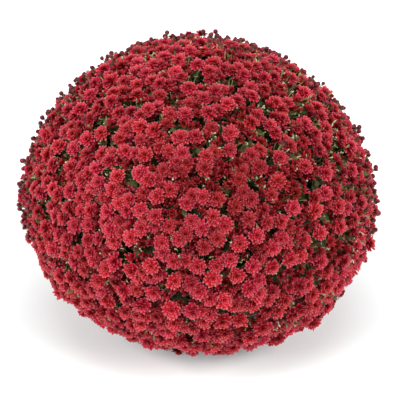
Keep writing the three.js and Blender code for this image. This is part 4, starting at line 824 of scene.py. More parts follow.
def stem_material():
    k = Nodes("green_stem", rough=0.55, spec=0.35)
    col, row, u, v = k.cell(4, 4)
    n = k.white(k.join(col, row, 2.0))
    green = k.ramp(n, [(0.0, (0.085, 0.105, 0.028)), (0.5, (0.145, 0.155, 0.045)), (1.0, (0.22, 0.215, 0.08))])
    cream = k.ramp(n, [(0.0, (0.28, 0.24, 0.10)), (0.5, (0.40, 0.34, 0.17)), (1.0, (0.56, 0.47, 0.29))])
    base = k.mix(k.remap(row, 1.0, 3.0, 0.0, 1.0), green, cream)
    ridge = k.noise(k.join(k.math("MULTIPLY", u, 7.0), k.math("MULTIPLY", v, 2.0), n), 2.0, 3.0, 0.6)
    c = k.mix(1.0, base, k.ramp(ridge, [(0.3, 0.72), (0.7, 1.15)]), "MULTIPLY")
    k.colour(c)
    k.bump(ridge, 0.4, 0.0004)
    return k.m


def bark_material():
    k = Nodes("woody_stem", rough=0.8, spec=0.25)
    p = k.coords()
    x, y, z = k.split(p)
    grain = k.noise(k.join(k.math("MULTIPLY", x, 900.0), k.math("MULTIPLY", y, 900.0), k.math("MULTIPLY", z, 120.0)), 0.35, 5.0, 0.65, 0.6)
    # brown at the crown, greener where the wood is young
    young = k.ramp(k.math("ADD", k.remap(z, 0.165, 0.235, 0.0, 1.0), k.math("MULTIPLY", k.math("SUBTRACT", grain, 0.5), 0.5)),
                   [(0.0, (0.13, 0.085, 0.045)), (0.45, (0.16, 0.13, 0.055)), (1.0, (0.17, 0.20, 0.06))])
    c = k.mix(1.0, young, k.ramp(grain, [(0.30, 0.50), (0.55, 1.0), (0.8, 1.3)]), "MULTIPLY")
    k.colour(c)
    k.rough(k.remap(grain, 0.2, 0.8, 0.9, 0.62))
    k.bump(grain, 0.8, 0.0012)
    return k.m


def soil_material():
    k = Nodes("potting_mix", rough=0.95, spec=0.15)
    p = k.coords()
    a = k.noise(p, 260.0, 6.0, 0.7)
    b = k.noise(p, 45.0, 3.0, 0.6)
    c = k.mix(1.0, k.ramp(a, [(0.25, (0.010, 0.007, 0.004)), (0.5, (0.035, 0.022, 0.013)), (0.7, (0.085, 0.055, 0.032)), (0.85, (0.16, 0.11, 0.07))]),
              k.ramp(b, [(0.3, 0.65), (0.7, 1.2)]), "MULTIPLY")
    k.colour(c)
    k.rough(k.remap(b, 0.3, 0.7, 0.98, 0.8))
    k.bump(a, 0.9, 0.002)
    return k.m


def grit_material():
    k = Nodes("perlite", rough=0.9, spec=0.2)
    p = k.coords()
    a = k.noise(p, 700.0, 4.0, 0.6)
    k.colour(k.ramp(a, [(0.3, (0.42, 0.38, 0.32)), (0.6, (0.68, 0.65, 0.58)), (0.85, (0.82, 0.80, 0.75))]))
    k.bump(a, 0.5, 0.0006)
    return k.m


def pot_material():
    k = Nodes("pot_plastic", rough=0.5, spec=0.45)
    p = k.coords()
    x, y, z = k.split(p)
    grain = k.noise(p, 1400.0, 3.0, 0.6)
    cloud = k.noise(p, 22.0, 4.0, 0.6)
    # dust and dried splashes gather low on the wall and on the rim
    dust = k.math("MULTIPLY", k.ramp(k.noise(p, 60.0, 5.0, 0.65), [(0.45, 0.0), (0.75, 1.0)]),
                  k.math("ADD", k.remap(z, 0.0, 0.05, 0.55, 0.10), k.remap(z, 0.145, 0.16, 0.0, 0.35)))
    c = k.mix(1.0, (0.028, 0.028, 0.029), k.ramp(cloud, [(0.3, 0.85), (0.7, 1.2)]), "MULTIPLY")
    c = k.mix(dust, c, (0.13, 0.105, 0.08))
    k.colour(c)
    k.rough(k.math("ADD", k.remap(cloud, 0.3, 0.7, 0.42, 0.56), k.math("MULTIPLY", dust, 0.35)))
    k.bump(grain, 0.12, 0.0003)
    return k.m


PETAL, BUD, LEAF, STEM = petal_material(), bud_material(), leaf_material(), stem_material()
BARK, SOIL, GRIT, POT = bark_material(), soil_material(), grit_material(), pot_material()


# ------------------------------------------------------- where everything sits
def screen(p):
    """Where points p in mm come in the photo's frame."""
    q = p - EYE
    d = -(q @ EYE_B)
    return np.stack([200 + FOCAL * (q @ EYE_R) / d, 200 - FOCAL * (q @ EYE_U) / d], 1)


def nearest_spray(u):
    return np.argmax(u @ CENTRES.T, 1)


def tilted(n, spread, up=0.5):
    """Axis of a bloom: outwards, a little up, a little at random."""
    a = unit(0.78 * n + up * np.array([0, 0, 1.0]) * np.clip(1.1 - np.abs(n[:, 2:3]), 0, 1))
    return unit(a + rng.normal(size=n.shape) * spread)


def at_limb(axis, u, low=0.95, flat=0.26):
    """Blooms round the outline of the photographed side turn their faces a little towards it."""
    w = ((facing(u) + 0.10) / 0.12).clip(0, 1) * (flat + low * np.maximum(0, -dome_normal(u) @ EYE_U))
    return unit(axis + w[:, None] * EYE_B)


class Set:
    pass


def bloom_set(u, depth, R, axis, bright, hue, openness, rise):
    s = Set()
    n = dome_normal(u)
    s.u, s.n, s.R, s.A = u, n, R, axis
    # the middle of the bloom's face lies depth under the dome
    s.face = dome(u) - n * depth[:, None]
    s.O = s.face - axis * (rise * R)[:, None]
    s.bright, s.hue, s.open = bright, hue, openness
    s.spray = nearest_spray(u)
    s.P, s.Q = frames(axis, rng.uniform(0, 6.28, len(u)))
    return s


def pick(s, m):
    t = Set()
    for k, v in s.__dict__.items():
        setattr(t, k, v[m])
    return t


N_OPEN, N_HALF, N_BUD, N_PALE, N_LEAF, N_DEEP = 1060, 800, 600, 90, 1230, 1000
LIMB = 0.30      # below this the dome is seen too aslant to measure


def join(*sets):
    t = Set()
    for k in sets[0].__dict__:
        setattr(t, k, np.concatenate([getattr(x, k) for x in sets]))
    return t


# open blooms: measured ones on the near side, seeded ones on the rest
so = np.array(SEEN_OPEN)
k = len(so)
rank = np.linspace(0, 1, k)
ask = -1.0 + 8.0 * rank * (1 - 0.65 * ((so[:, 1] - 255) / 40).clip(0, 1)) + rng.normal(0, 1.0, k)
u1, d1 = first_hit(so[:, 0], so[:, 1], ask)
n1 = dome_normal(u1)
turn = np.clip(0.85 - np.sum(n1 * EYE_B, 1, keepdims=True), 0, 0.6)
ax1 = unit(0.80 * n1 + 0.10 * np.array([0, 0, 1.0]) + (0.15 + 0.85 * turn) * EYE_B + rng.normal(size=n1.shape) * 0.13)
far = np.linalg.norm(dome(u1) - EYE, axis=1) / 1520.0
R1 = (12.5 + 4.0 * (so[:, 2] / 100 - 0.96)) * far * (1 + 0.09 * ((so[:, 1] - 250) / 40).clip(0, 1))
# colour rows carry painted light and shade: later, deeper-set blooms darker, painted shade over a patch near the middle
# of the camera's view, and blooms seen aslant near the outline painted lighter
shade = 3.2 * np.exp(-((so[:, 0] - 222) ** 2 + (so[:, 1] - 172) ** 2) / 7600) - 1.3 * (1 - facing(u1) / 0.5).clip(0, 0.8)
seen_open = bloom_set(u1, d1.clip(-9, 12), R1, ax1, (5.9 - 1.9 * rank - shade + rng.normal(0, 0.8, k)).clip(1, 7), rng.integers(0, 4, k), np.ones(k), 0.25)
taken = dome(u1)
u2, p2 = scatter(N_OPEN, 19.0, taken, 19.0, where=lambda u: facing(u) < LIMB)
k = len(u2)
# blooms on the side towards the camera get lighter colour rows than those behind: painted light
rest_open = bloom_set(u2, np.where(facing(u2) > -0.06, rng.normal(9.5, 2.4, k), rng.normal(2.5, 3.6, k).clip(-5, 11)), rng.normal(12.9, 1.0, k).clip(10.5, 15.2) + 1.3 * (-dome_normal(u2) @ EYE_U > 0.45),
                      at_limb(tilted(dome_normal(u2), 0.21), u2), np.where(facing(u2) > -0.1, rng.normal(6.1, 0.9, k), rng.normal(5.6, 1.1, k)).clip(1, 7), rng.integers(0, 4, k), np.ones(k), 0.25)
opened = join(seen_open, rest_open)
opened.near = facing(opened.u) > -0.15
p_open = dome(opened.u)

# half-open and shaded blooms between them; their lower colour rows are painted shade
sh = np.array(SEEN_HALF)
k = len(sh)
u3, d3 = first_hit(sh[:, 0], sh[:, 1], rng.normal(6.5, 2.5, k).clip(1, 13))
n3 = dome_normal(u3)
turn = np.clip(0.85 - np.sum(n3 * EYE_B, 1, keepdims=True), 0, 0.6)
ax3 = unit(0.80 * n3 + 0.14 * np.array([0, 0, 1.0]) + (0.10 + 0.75 * turn) * EYE_B + rng.normal(size=n3.shape) * 0.20)
# painted shade: rows lowered over a patch near the middle of the camera's view
seen_half = bloom_set(u3, d3.clip(-7, 16), rng.normal(11.6, 1.2, k).clip(8.5, 14), ax3, (3.3 - 1.9 * np.exp(-((sh[:, 0] - 222) ** 2 + (sh[:, 1] - 172) ** 2) / 7600) + rng.normal(0, 1.0, k)).clip(0.4, 5.4), rng.integers(0, 4, k), rng.uniform(0, 1, k), 0.5)
u4, p4 = scatter(N_HALF, 14.0, np.concatenate([p_open, dome(u3)]), 13.0, where=lambda u: facing(u) < LIMB)
k = len(u4)
# lighter rows on the side towards the camera and on the blooms low down, facing down: painted light
rest_half = bloom_set(u4, np.where(facing(u4) > -0.06, rng.normal(14, 2.0, k), rng.normal(8.0, 3.0, k).clip(1, 16)), np.where(facing(u4) > -0.1, rng.normal(11.4, 1.2, k), rng.normal(10.0, 1.2, k)).clip(7, 13.5) + 1.2 * (-dome_normal(u4) @ EYE_U > 0.45),
                      at_limb(tilted(dome_normal(u4), 0.26), u4), (np.where(facing(u4) > -0.1, rng.normal(4.3, 1.0, k), rng.normal(3.1, 1.0, k)) + 1.2 * (-dome_normal(u4) @ EYE_U > 0.45)).clip(0.6, 6.2), rng.integers(0, 4, k), rng.uniform(0, 1, k), 0.5)
half = join(seen_half, rest_half)
half.near = facing(half.u) > -0.15
# late blooms deep in the gaps that show between them, with low colour rows as painted shade
sl = np.array(SEEN_LEAF)
gap_px = lambda u: np.ones(len(u), bool) if not len(u) else np.min(np.hypot(*(screen(dome(u))[:, None] - sl[None]).transpose(2, 0, 1)), 1) > 7
u7, p7 = scatter(430, 13.0, np.concatenate([p_open, dome(half.u)]), 10.5, where=lambda u: (facing(u) > 0.05) & gap_px(u))
k = len(u7)
fill = bloom_set(u7, rng.normal(17, 2.5, k).clip(12, 23), rng.normal(10.5, 1.1, k).clip(8, 13), tilted(dome_normal(u7), 0.30), rng.normal(2.2, 0.9, k).clip(0, 4), rng.integers(0, 4, k), np.ones(k), 0.5)
print("fill", k, "open", len(seen_open.R), len(rest_open.R), "half", len(seen_half.R), len(rest_half.R))

# buds: measured ones round the outline, then small groups on stalks between the blooms
sb = np.array(SEEN_BUD)
u5, d5 = first_hit(sb[:, 0], sb[:, 1], np.full(len(sb), -3.0))
u_g, p_g = scatter(int(N_BUD / 2.4), 24.0, p_open, 9.5)
src = rng.integers(0, len(u_g), N_BUD)
u_bud = unit(u_g[src] + rng.normal(size=(N_BUD, 3)) * 0.026)
u_bud = u_bud[u_bud[:, 2] > SKIRT_U]
u_rim, _ = scatter(300, 13.0, where=lambda u: (facing(u) < 0.18) & (facing(u) > -0.26) & (u[:, 2] > -0.12))
u_back, _ = scatter(290, 24.0, where=lambda u: facing(u) <= -0.30)
u_bud = np.concatenate([u_bud, u_rim, u_back])
sp = np.array(SEEN_PALE)
u6, d6 = first_hit(sp[:, 0], sp[:, 1], np.full(len(sp), 3.0))
u_pale, _ = scatter(N_PALE, 20.0, p_open, 8.0, where=lambda u: facing(u) < LIMB)


# ------------------------------------------------------------------- the blooms
def whorl(geo, s, count, L, W, phi, bend, r0, z0, cup, drop, form, jit=(6.0, 12.0), turn=0.0):
    """One ring of petals on every bloom of s; angles in degrees, lengths over the bloom's radius."""
    n = len(s.R)
    N = n * count
    i = np.repeat(np.arange(n), count)
    j = np.tile(np.arange(count), n)
    step = 2 * np.pi / count
    ang = j * step + turn * step + rng.normal(0, 0.17, N) * step + np.repeat(rng.uniform(-.4, .4, n), count) * step
    R = s.R[i]
    # whole bloom opens or closes together, its petals differ a little
    f = np.radians(phi + np.repeat(rng.normal(0, jit[0] * 0.6, n), count) + rng.normal(0, jit[0], N))
    b = np.radians(bend + rng.normal(0, jit[1], N))
    # drop lowers the colour row of inner whorls: painted shade in the bloom's heart
    row = np.clip(np.round(s.bright[i] - drop + rng.normal(0, 0.42, N)), 0, 7)
    petals(geo, s.O[i], s.A[i], s.P[i], s.Q[i], ang, L * R * rng.normal(1, 0.085, N), W * R * rng.normal(1, 0.08, N),
           f, b, r0 * R, z0 * R, cup + rng.normal(0, 0.03, N), rng.normal(0, 0.12, N), (s.hue[i].astype(float), row), 0, form)


def knob(geo, s, r, h, z, drop):
    n = len(s.R)
    # drop darkens the centre knob: painted shade in the heart
    row = np.clip(np.round(s.bright - drop), 0, 7)
    R = s.R
    cups(geo, s.O, s.A, s.P, s.Q, [(r * R, z * R, 0.55), (0.8 * r * R, (z + 0.65 * h) * R, 0.65), (None, (z + h) * R, 0.7)],
         5, (s.hue.astype(float), row), 0, (4, 8))


def open_blooms(geo, s, near):
    if not len(s.R):
        return
    # the figure after cup lowers each whorl's colour row, more towards the heart: painted shade
    whorl(geo, s, 16, 0.98, 0.385, 0, 15, 0.10, 0.00, 0.12, 0.0, FULL if near else LITE, jit=(8, 14))
    whorl(geo, s, 14, 0.84, 0.365, 14, 13, 0.08, 0.10, 0.13, 0.05, LITE if near else FLAT, turn=0.5, jit=(7, 13))
    whorl(geo, s, 12, 0.66, 0.335, 27, 14, 0.06, 0.19, 0.15, 0.4, FLAT)
    whorl(geo, s, 9, 0.47, 0.30, 43, 20, 0.05, 0.26, 0.15, 1.1, FLAT, turn=0.5)
    whorl(geo, s, 6, 0.32, 0.23, 62, 38, 0.03, 0.31, 0.15, 1.9, FLAT)
    knob(geo, s, 0.12, 0.26, 0.28, 2.6)


def half_blooms(geo, s, near):
    if not len(s.R):
        return
    whorl(geo, s, 10 if near else 9, 0.95, 0.34, 34, 26, 0.10, 0.00, 0.20, 0.0, LITE if near else FLAT, jit=(9, 14))
    whorl(geo, s, 8 if near else 7, 0.80, 0.32, 56, 30, 0.06, 0.08, 0.22, 0.6, FLAT, jit=(8, 14), turn=0.5)
    whorl(geo, s, 5 if near else 4, 0.56, 0.30, 74, 34, 0.03, 0.12, 0.22, 1.2, FLAT, jit=(6, 12))


def fill_blooms(geo, s):
    if not len(s.R):
        return
    whorl(geo, s, 9, 0.95, 0.36, 30, 30, 0.08, 0.00, 0.20, 0.0, FLAT, jit=(10, 14))
    whorl(geo, s, 5, 0.66, 0.34, 60, 34, 0.04, 0.08, 0.22, 0.8, FLAT, jit=(8, 14), turn=0.5)


# ------------------------------------------------------------- spray framework
class Wood:
    """Stalk paths gathered by branch, drawn later as tubes."""

    def __init__(self):
        self.by = {}

    def add(self, branch, kind, paths, radii):
        for b in np.unique(branch):
            m = branch == b
            self.by.setdefault((int(b), kind, paths.shape[1]), []).append((paths[m], radii[m]))


def curve(a, da, b, db, steps):
    """Cubic curves from a, leaving along da, to b, arriving along db (both vectors scaled)."""
    t = np.linspace(0, 1, steps)[None, :, None]
    a, b, c, d = a[:, None], b[:, None], (a + da)[:, None], (b - db)[:, None]
    return a * (1 - t) ** 3 + 3 * c * t * (1 - t) ** 2 + 3 * d * t * t * (1 - t) + b * t ** 3


wood = Wood()
sub_pos, sub_dir, sub_spray = [], [], []
for i in range(len(CENTRES)):
    own = np.concatenate([opened.face[opened.spray == i], half.face[half.spray == i]])
    q = own[rng.choice(len(own), 10, replace=False)]
    for _ in range(8):
        lab = np.argmin(((own[:, None] - q[None]) ** 2).sum(-1), 1)
        q = np.array([own[lab == j].mean(0) if (lab == j).any() else q[j] for j in range(len(q))])
    ap = APEXES[i] + np.array([0, 0, 0.0])
    pos = ap + (q - ap) * rng.uniform(0.42, 0.55, len(q))[:, None]
    sub_pos.append(pos); sub_dir.append(unit(q - pos)); sub_spray.append(np.full(len(q), i))
    ax = AXES[i]
    span = np.linalg.norm(pos - ap, axis=1, keepdims=True)
    path = curve(np.repeat(ap[None], len(q), 0), ax[None] * span * 0.35, pos, unit(q - pos) * span * 0.3, 5)
    rad_ = np.linspace(2.0, 1.35, 5)[None] * np.ones((len(q), 1))
    wood.add(np.full(len(q), i // 4), 5, path, rad_)
sub_pos, sub_dir, sub_spray = np.concatenate(sub_pos), np.concatenate(sub_dir), np.concatenate(sub_spray)


def home(p, spray):
    """The subnode of its own spray that each point hangs on."""
    d = ((p[:, None] - sub_pos[None]) ** 2).sum(-1)
    d[spray[:, None] != sub_spray[None]] = 1e12
    return np.argmin(d, 1)


def stalks(foot, axis, spray, r0, r1, steps=4, sides=3, lead=0.35):
    """Stalks from the subnodes to the foot of each bloom, bud or leaf."""
    h = home(foot, spray)
    a = sub_pos[h]
    span = np.linalg.norm(foot - a, axis=1, keepdims=True)
    path = curve(a, sub_dir[h] * span * 0.3, foot, axis * span * lead, steps)
    wood.add(spray // 4, sides, path, np.linspace(1, 0, steps)[None] * (r0 - r1) + r1 * np.ones((len(foot), 1)))
    return path


for s in (pick(opened, opened.near), pick(half, half.near)):
    stalks(s.O - s.A * 0.10 * s.R[:, None], s.A, s.spray, 1.05, 0.75, 3)
for s in (pick(opened, ~opened.near), pick(half, ~half.near)):
    stalks(s.O - s.A * 0.10 * s.R[:, None], s.A, s.spray, 1.05, 0.75, 2)
stalks(fill.O - fill.A * 0.10 * fill.R[:, None], fill.A, fill.spray, 1.0, 0.7, 3)

# buds
def bud_set(u, depth, r, col):
    s = Set()
    n = dome_normal(u)
    s.n = n
    s.A = tilted(n, 0.22, 0.7)
    s.R = r
    s.O = dome(u) - n * depth[:, None]
    s.spray = nearest_spray(u)
    s.P, s.Q = frames(s.A, rng.uniform(0, 6.28, len(u)))
    s.col = col
    return s


k5, k = len(u5), len(u_bud)
kp = len(u_rim) + len(u_back)
buds = bud_set(np.concatenate([u5, u_bud]), np.concatenate([d5.clip(-17, 0), rng.normal(5.5, 4.5, k - kp).clip(-6, 14), rng.normal(-2.5, 3.5, kp).clip(-10, 5)]),
               np.concatenate([rng.uniform(3.4, 4.6, k5), rng.uniform(2.5, 3.6, k - kp), rng.uniform(3.3, 4.8, kp)]), rng.choice([0, 1, 2], k5 + k, p=[0.5, 0.2, 0.3]))
k6, k = len(u6), len(u_pale)
pale = bud_set(np.concatenate([u6, u_pale]), np.concatenate([d6.clip(-8, 4), rng.normal(5.0, 3.5, k).clip(-3, 12)]),
               rng.uniform(1.1, 1.8, k6 + k), np.full(k6 + k, 3))
for s in (buds, pale):
    stalks(s.O - s.A * s.R[:, None] * 0.85, s.A, s.spray, 1.0, 0.85, 3)


def round_buds(geo, s):
    R = s.R
    cups(geo, s.O, s.A, s.P, s.Q,
         [(0.52 * R, -0.88 * R, 0.0), (1.0 * R, -0.12 * R, 0.42), (0.76 * R, 0.62 * R, 0.76), (None, 0.98 * R, 1.0)],
         5, (s.col.astype(float), rng.integers(0, 4, len(R)).astype(float)), 0, (4, 4))


# ------------------------------------------------------------------ the leaves
HALF = [(0.00, 0.00), (0.045, 0.06), (0.15, 0.14), (0.27, 0.20), (0.20, 0.31), (0.36, 0.44), (0.25, 0.55), (0.31, 0.68), (0.17, 0.76), (0.14, 0.88), (0.0, 1.0)]
RIB = [(0.0, 0.0), (0.0, 0.25), (0.0, 0.50), (0.0, 0.75), (0.0, 1.0)]


def leaf_plan():
    """Vertices (w, s) and triangles of one lobed blade; w is negative on the left."""
    v = [(0.0, s) for _, s in RIB]
    tri = []
    for sgn in (1, -1):
        idx = [0] + [len(v) + i for i in range(len(HALF) - 2)] + [len(RIB) - 1]
        v += [(sgn * w, s) for w, s in HALF[1:-1]]
        i = j = 0
        while i < len(idx) - 1 or j < len(RIB) - 1:
            go = j == len(RIB) - 1 or (i < len(idx) - 1 and HALF[i + 1][1] <= RIB[j + 1][1] + 0.02)
            if go:
                t = (j, idx[i], idx[i + 1]); i += 1
            else:
                t = (j, idx[i], j + 1); j += 1
            if len(set(t)) == 3:
                tri.append(t if sgn > 0 else (t[0], t[2], t[1]))
    return np.array(v), np.array(tri)


LEAF_V, LEAF_T = leaf_plan()


def leaves(geo, base, D, N, L, width, fold, droop, curl, cell, mat=0):
    """Blades: base, D along the blade, N its upper side, L length; fold lifts the edges, droop bends the tip down."""
    n = len(base)
    S = np.cross(D, N)
    w, s = LEAF_V[:, 0], LEAF_V[:, 1]
    # the midrib bends down in an arc
    a = droop[:, None] * s[None]
    x = L[:, None] * np.where(np.abs(a) < 1e-3, s[None], s[None] * np.sinc(a / np.pi / 1.0))
    z = -L[:, None] * s[None] * a * 0.5
    side = (w[None] * width[:, None] * L[:, None])
    lift = np.abs(side) * fold[:, None] + L[:, None] * curl[:, None] * np.sin(s[None] * 9 + np.sign(w)[None] * 2) * np.abs(w)[None]
    v = base[:, None] + D[:, None] * x[..., None] + S[:, None] * side[..., None] + N[:, None] * (z + lift)[..., None]
    loc = np.stack([0.5 + w / 0.74, s], -1)[LEAF_T].reshape(1, -1, 2)
    uv = cell_uv(np.broadcast_to(loc, (n, loc.shape[1], 2)), cell[0], cell[1], 4, 2)
    geo.add(v, repeat(LEAF_T, n, len(LEAF_V)), uv, mat)


def leaf_set(u, tip_depth, L, theta):
    s = Set()
    n = dome_normal(u)
    t = rng.normal(size=n.shape)
    t = unit(t - n * np.sum(t * n, 1, keepdims=True) - np.array([0, 0, 0.35]))
    s.D = unit(n * np.cos(theta)[:, None] + t * np.sin(theta)[:, None])
    s.N = unit(n - s.D * np.sum(n * s.D, 1, keepdims=True) + rng.normal(size=n.shape) * 0.18)
    s.N = unit(s.N - s.D * np.sum(s.N * s.D, 1, keepdims=True))
    s.L = L
    s.base = dome(u) - n * tip_depth[:, None] - s.D * L[:, None]
    s.spray = nearest_spray(u)
    s.col, s.row = rng.integers(0, 4, len(u)).astype(float), rng.integers(0, 2, len(u)).astype(float)
    return s


sl = np.array(SEEN_LEAF)
u_l0, d_l0 = first_hit(sl[:, 0], sl[:, 1], np.full(len(sl), 11.0))
u_l1, _ = scatter(N_LEAF, 13.0, p_open, 8.5)
u_l2, _ = scatter(700, 20.0)
u_l3, _ = scatter(N_DEEP, 21.0)
u_l4, _ = scatter(190, 17.0, where=lambda u: (facing(u) < 0.34) & (facing(u) > -0.12) & (u[:, 2] < 0.30) & (np.abs(u[:, 0]) > 0.45))
k0, k1, k2, k3, k4 = len(u_l0), len(u_l1), len(u_l2), len(u_l3), len(u_l4)
tip1 = np.where(facing(u_l1) > LIMB, rng.normal(14, 4, k1).clip(8, 24), rng.normal(12, 4, k1).clip(3, 22))
leaf = leaf_set(np.concatenate([u_l0, u_l1, u_l2, u_l3, u_l4]),
                np.concatenate([d_l0.clip(-6, 10), tip1, rng.normal(26, 5, k2).clip(16, 38), rng.normal(46, 8, k3).clip(34, 64), rng.uniform(-3, 4, k4)]),
                np.concatenate([rng.uniform(15, 22, k0), rng.uniform(14, 21, k1), rng.uniform(24, 36, k2), rng.uniform(54, 72, k3), rng.uniform(13, 19, k4)]),
                np.radians(np.concatenate([rng.uniform(30, 60, k0), rng.uniform(25, 70, k1), rng.uniform(50, 85, k2), rng.uniform(74, 95, k3), rng.uniform(10, 50, k4)])))
# no blade inside the plant reaches out between the blooms
least = np.concatenate([np.full(k0, -9.0), np.full(k1, 4.0), np.full(k2, 13.0), np.full(k3, 30.0), np.full(k4, -5.0)])
for t in (0.0, 0.35, 0.7, 1.0):
    for w in (-0.35, 0.35):
        q = leaf.base + leaf.D * (leaf.L * t)[:, None] + np.cross(leaf.D, leaf.N) * (leaf.L * w * (0.3 if t in (0.0, 1.0) else 1.0))[:, None]
        uq, rq = ball(q)
        leaf.base -= dome_normal(uq) * (least - (DOME_R * swell(uq) - rq)).clip(0, 60)[:, None]
kk = rng.random(k0 + k1 + k2 + k3 + k4)
leaf.row = (kk < np.concatenate([np.full(k0, 0.5), np.where(facing(u_l1) > 0, 0.14, 0.3), np.full(k2, 0.06), np.full(k3, 0.0), np.full(k4, 0.8)])).astype(float)
stalks(leaf.base, leaf.D, leaf.spray, 0.9, 0.6, 2, lead=0.3)
print("leaves", k0, k1, k2, k3, k4)


def draw_leaves(geo, s):
    n = len(s.L)
    leaves(geo, s.base, s.D, s.N, s.L, rng.uniform(0.85, 1.1, n), rng.uniform(0.05, 0.4, n), rng.uniform(0.1, 0.9, n), rng.uniform(0.0, 0.10, n), (s.col, s.row))


# small pale bracts between the blooms: measured ones on the near side, seeded ones on the rest
sx = np.array(SEEN_SPECK)
u8, d8 = first_hit(sx[:, 0], sx[:, 1], rng.uniform(-1, 4, len(sx)))
d8 = d8 - 4.0 * (facing(u8) < 0.42)
u9, _ = scatter(520, 15.0, p_open, 9.0, where=lambda u: facing(u) < 0.12)
src = np.concatenate([np.repeat(np.arange(len(u8)), 2), len(u8) + np.repeat(np.arange(len(u9)), 2)])
ub = np.concatenate([u8, u9])[src]
db = np.concatenate([d8.clip(-6, 6), rng.uniform(0, 7, len(u9))])[src]
bract = Set()
bract.u = unit(ub + rng.normal(size=ub.shape) * 0.0035)
bn = dome_normal(bract.u)
bract.A = unit(bn + 0.5 * np.where((facing(bract.u) > -0.1)[:, None], EYE_B, 0) + rng.normal(size=bn.shape) * 0.25)
bract.R = rng.uniform(4.0, 6.8, len(bn)) * np.where(facing(bract.u) < 0.42, 1.3, 1.0)
bract.O = dome(bract.u) - bn * db[:, None] - bract.A * (0.75 * bract.R)[:, None]
bract.P, bract.Q = frames(bract.A, rng.uniform(0, 6.28, len(bn)))
bract.ang = rng.uniform(0, 6.28, len(bn))
bract.row = rng.choice([1, 2, 3], len(bn), p=[0.45, 0.35, 0.20]).astype(float)
bract.spray = nearest_spray(bract.u)
lead = np.arange(len(u8) + len(u9)) * 2
stalks(bract.O[lead], bract.A[lead], bract.spray[lead], 0.8, 0.6, 3)
# the other bracts of a spot start at the same stalk end
bract.O = bract.O[lead][src]
print("bracts", len(bn), "spots", len(u8), len(u9))


def draw_bracts(geo, s):
    n = len(s.R)
    petals(geo, s.O, s.A, s.P, s.Q, s.ang, s.R * rng.uniform(0.9, 1.15, n), s.R * rng.uniform(0.28, 0.42, n), np.radians(rng.uniform(40, 80, n)), np.radians(rng.uniform(-25, 25, n)),
           np.zeros(n), np.zeros(n), rng.uniform(0.1, 0.3, n), rng.normal(0, 0.3, n), (rng.integers(0, 4, n).astype(float), s.row), 0, FLAT, (4, 4))


# ---------------------------------------------------------------- build pieces
two = lambda i: "%02d" % i
for i in range(len(CENTRES)):
    g = Geo()
    open_blooms(g, pick(opened, (opened.spray == i) & opened.near), True)
    open_blooms(g, pick(opened, (opened.spray == i) & ~opened.near), False)
    half_blooms(g, pick(half, (half.spray == i) & half.near), True)
    half_blooms(g, pick(half, (half.spray == i) & ~half.near), False)
    fill_blooms(g, pick(fill, fill.spray == i))
    g.make("blooms_" + two(i + 1), [PETAL], "bloom", ["spray_" + two(i + 1)])
    g = Geo()
    draw_leaves(g, pick(leaf, leaf.spray == i))
    g.make("leaves_" + two(i + 1), [LEAF], "leaf", ["spray_" + two(i + 1)])
for b in range(9):
    g = Geo()
    for s in (buds, pale):
        round_buds(g, pick(s, s.spray // 4 == b))
    g.make("buds_" + two(b + 1), [BUD], "bud", ["spray_" + two(4 * b + j + 1) for j in range(4)])
    g = Geo()
    for (bb, sides, steps), items in wood.by.items():
        if bb != b:
            continue
        P_ = np.concatenate([x[0] for x in items]); R_ = np.concatenate([x[1] for x in items])
        tube(g, P_, R_, sides, (rng.integers(0, 4, len(P_)).astype(float), rng.integers(0, 2, len(P_)).astype(float)))
    # green cups under the blooms
    for s in (opened, half):
        t = pick(s, s.spray // 4 == b)
        R = t.R
        cups(g, t.O, t.A, t.P, t.Q, [(0.09 * R, -0.20 * R, 0.1), (0.30 * R, 0.03 * R, 0.8)], 5,
             (rng.integers(0, 4, len(R)).astype(float), rng.integers(0, 3, len(R)).astype(float)))
    draw_bracts(g, pick(bract, bract.spray // 4 == b))
    g.make("stalks_" + two(b + 1), [STEM], "green_stem", ["spray_" + two(4 * b + j + 1) for j in range(4)])


# --------------------------------------------------------- wood, crown and pot
def catmull(p, x):
    i = min(int(x), len(p) - 2)
    t = x - i
    a, b = p[i], p[i + 1]
    m0 = (p[i + 1] - p[max(i - 1, 0)]) / 2
    m1 = (p[min(i + 2, len(p) - 1)] - p[i]) / 2
    return (2 * t**3 - 3 * t**2 + 1) * a + (t**3 - 2 * t**2 + t) * m0 + (-2 * t**3 + 3 * t**2) * b + (t**3 - t**2) * m1


def sweep(path, r0, r1, knots=0.0, wob=0.0):
    """A smooth path through the given points, with a swelling at each leaf scar."""
    path = np.array(path, float)
    P_ = np.array([catmull(path, x) for x in np.linspace(0, len(path) - 1, (len(path) - 1) * 3 + 1)])
    s = np.linspace(0, 1, len(P_))
    r = (r0 + (r1 - r0) * s) * (1 + knots * np.exp(-(((s * 6) % 1) - 0.5) ** 2 / 0.006) + wob * rng.normal(size=len(P_)))
    return P_[None], r[None]


for b, row in enumerate(BRANCHES):
    g = Geo()
    zero = np.zeros(1)
    tube(g, *sweep(row[0], 6.2, 4.6, 0.14, 0.02), 12, (zero, zero), grid=(1, 1))
    for f in row[1:]:
        tube(g, *sweep(f, 3.4, 2.4, 0.12, 0.02), 8, (zero, zero), grid=(1, 1))
    g.make("wood_" + two(b + 1), [BARK], "woody_stem", ["branch_" + two(b + 1)], map_=False)

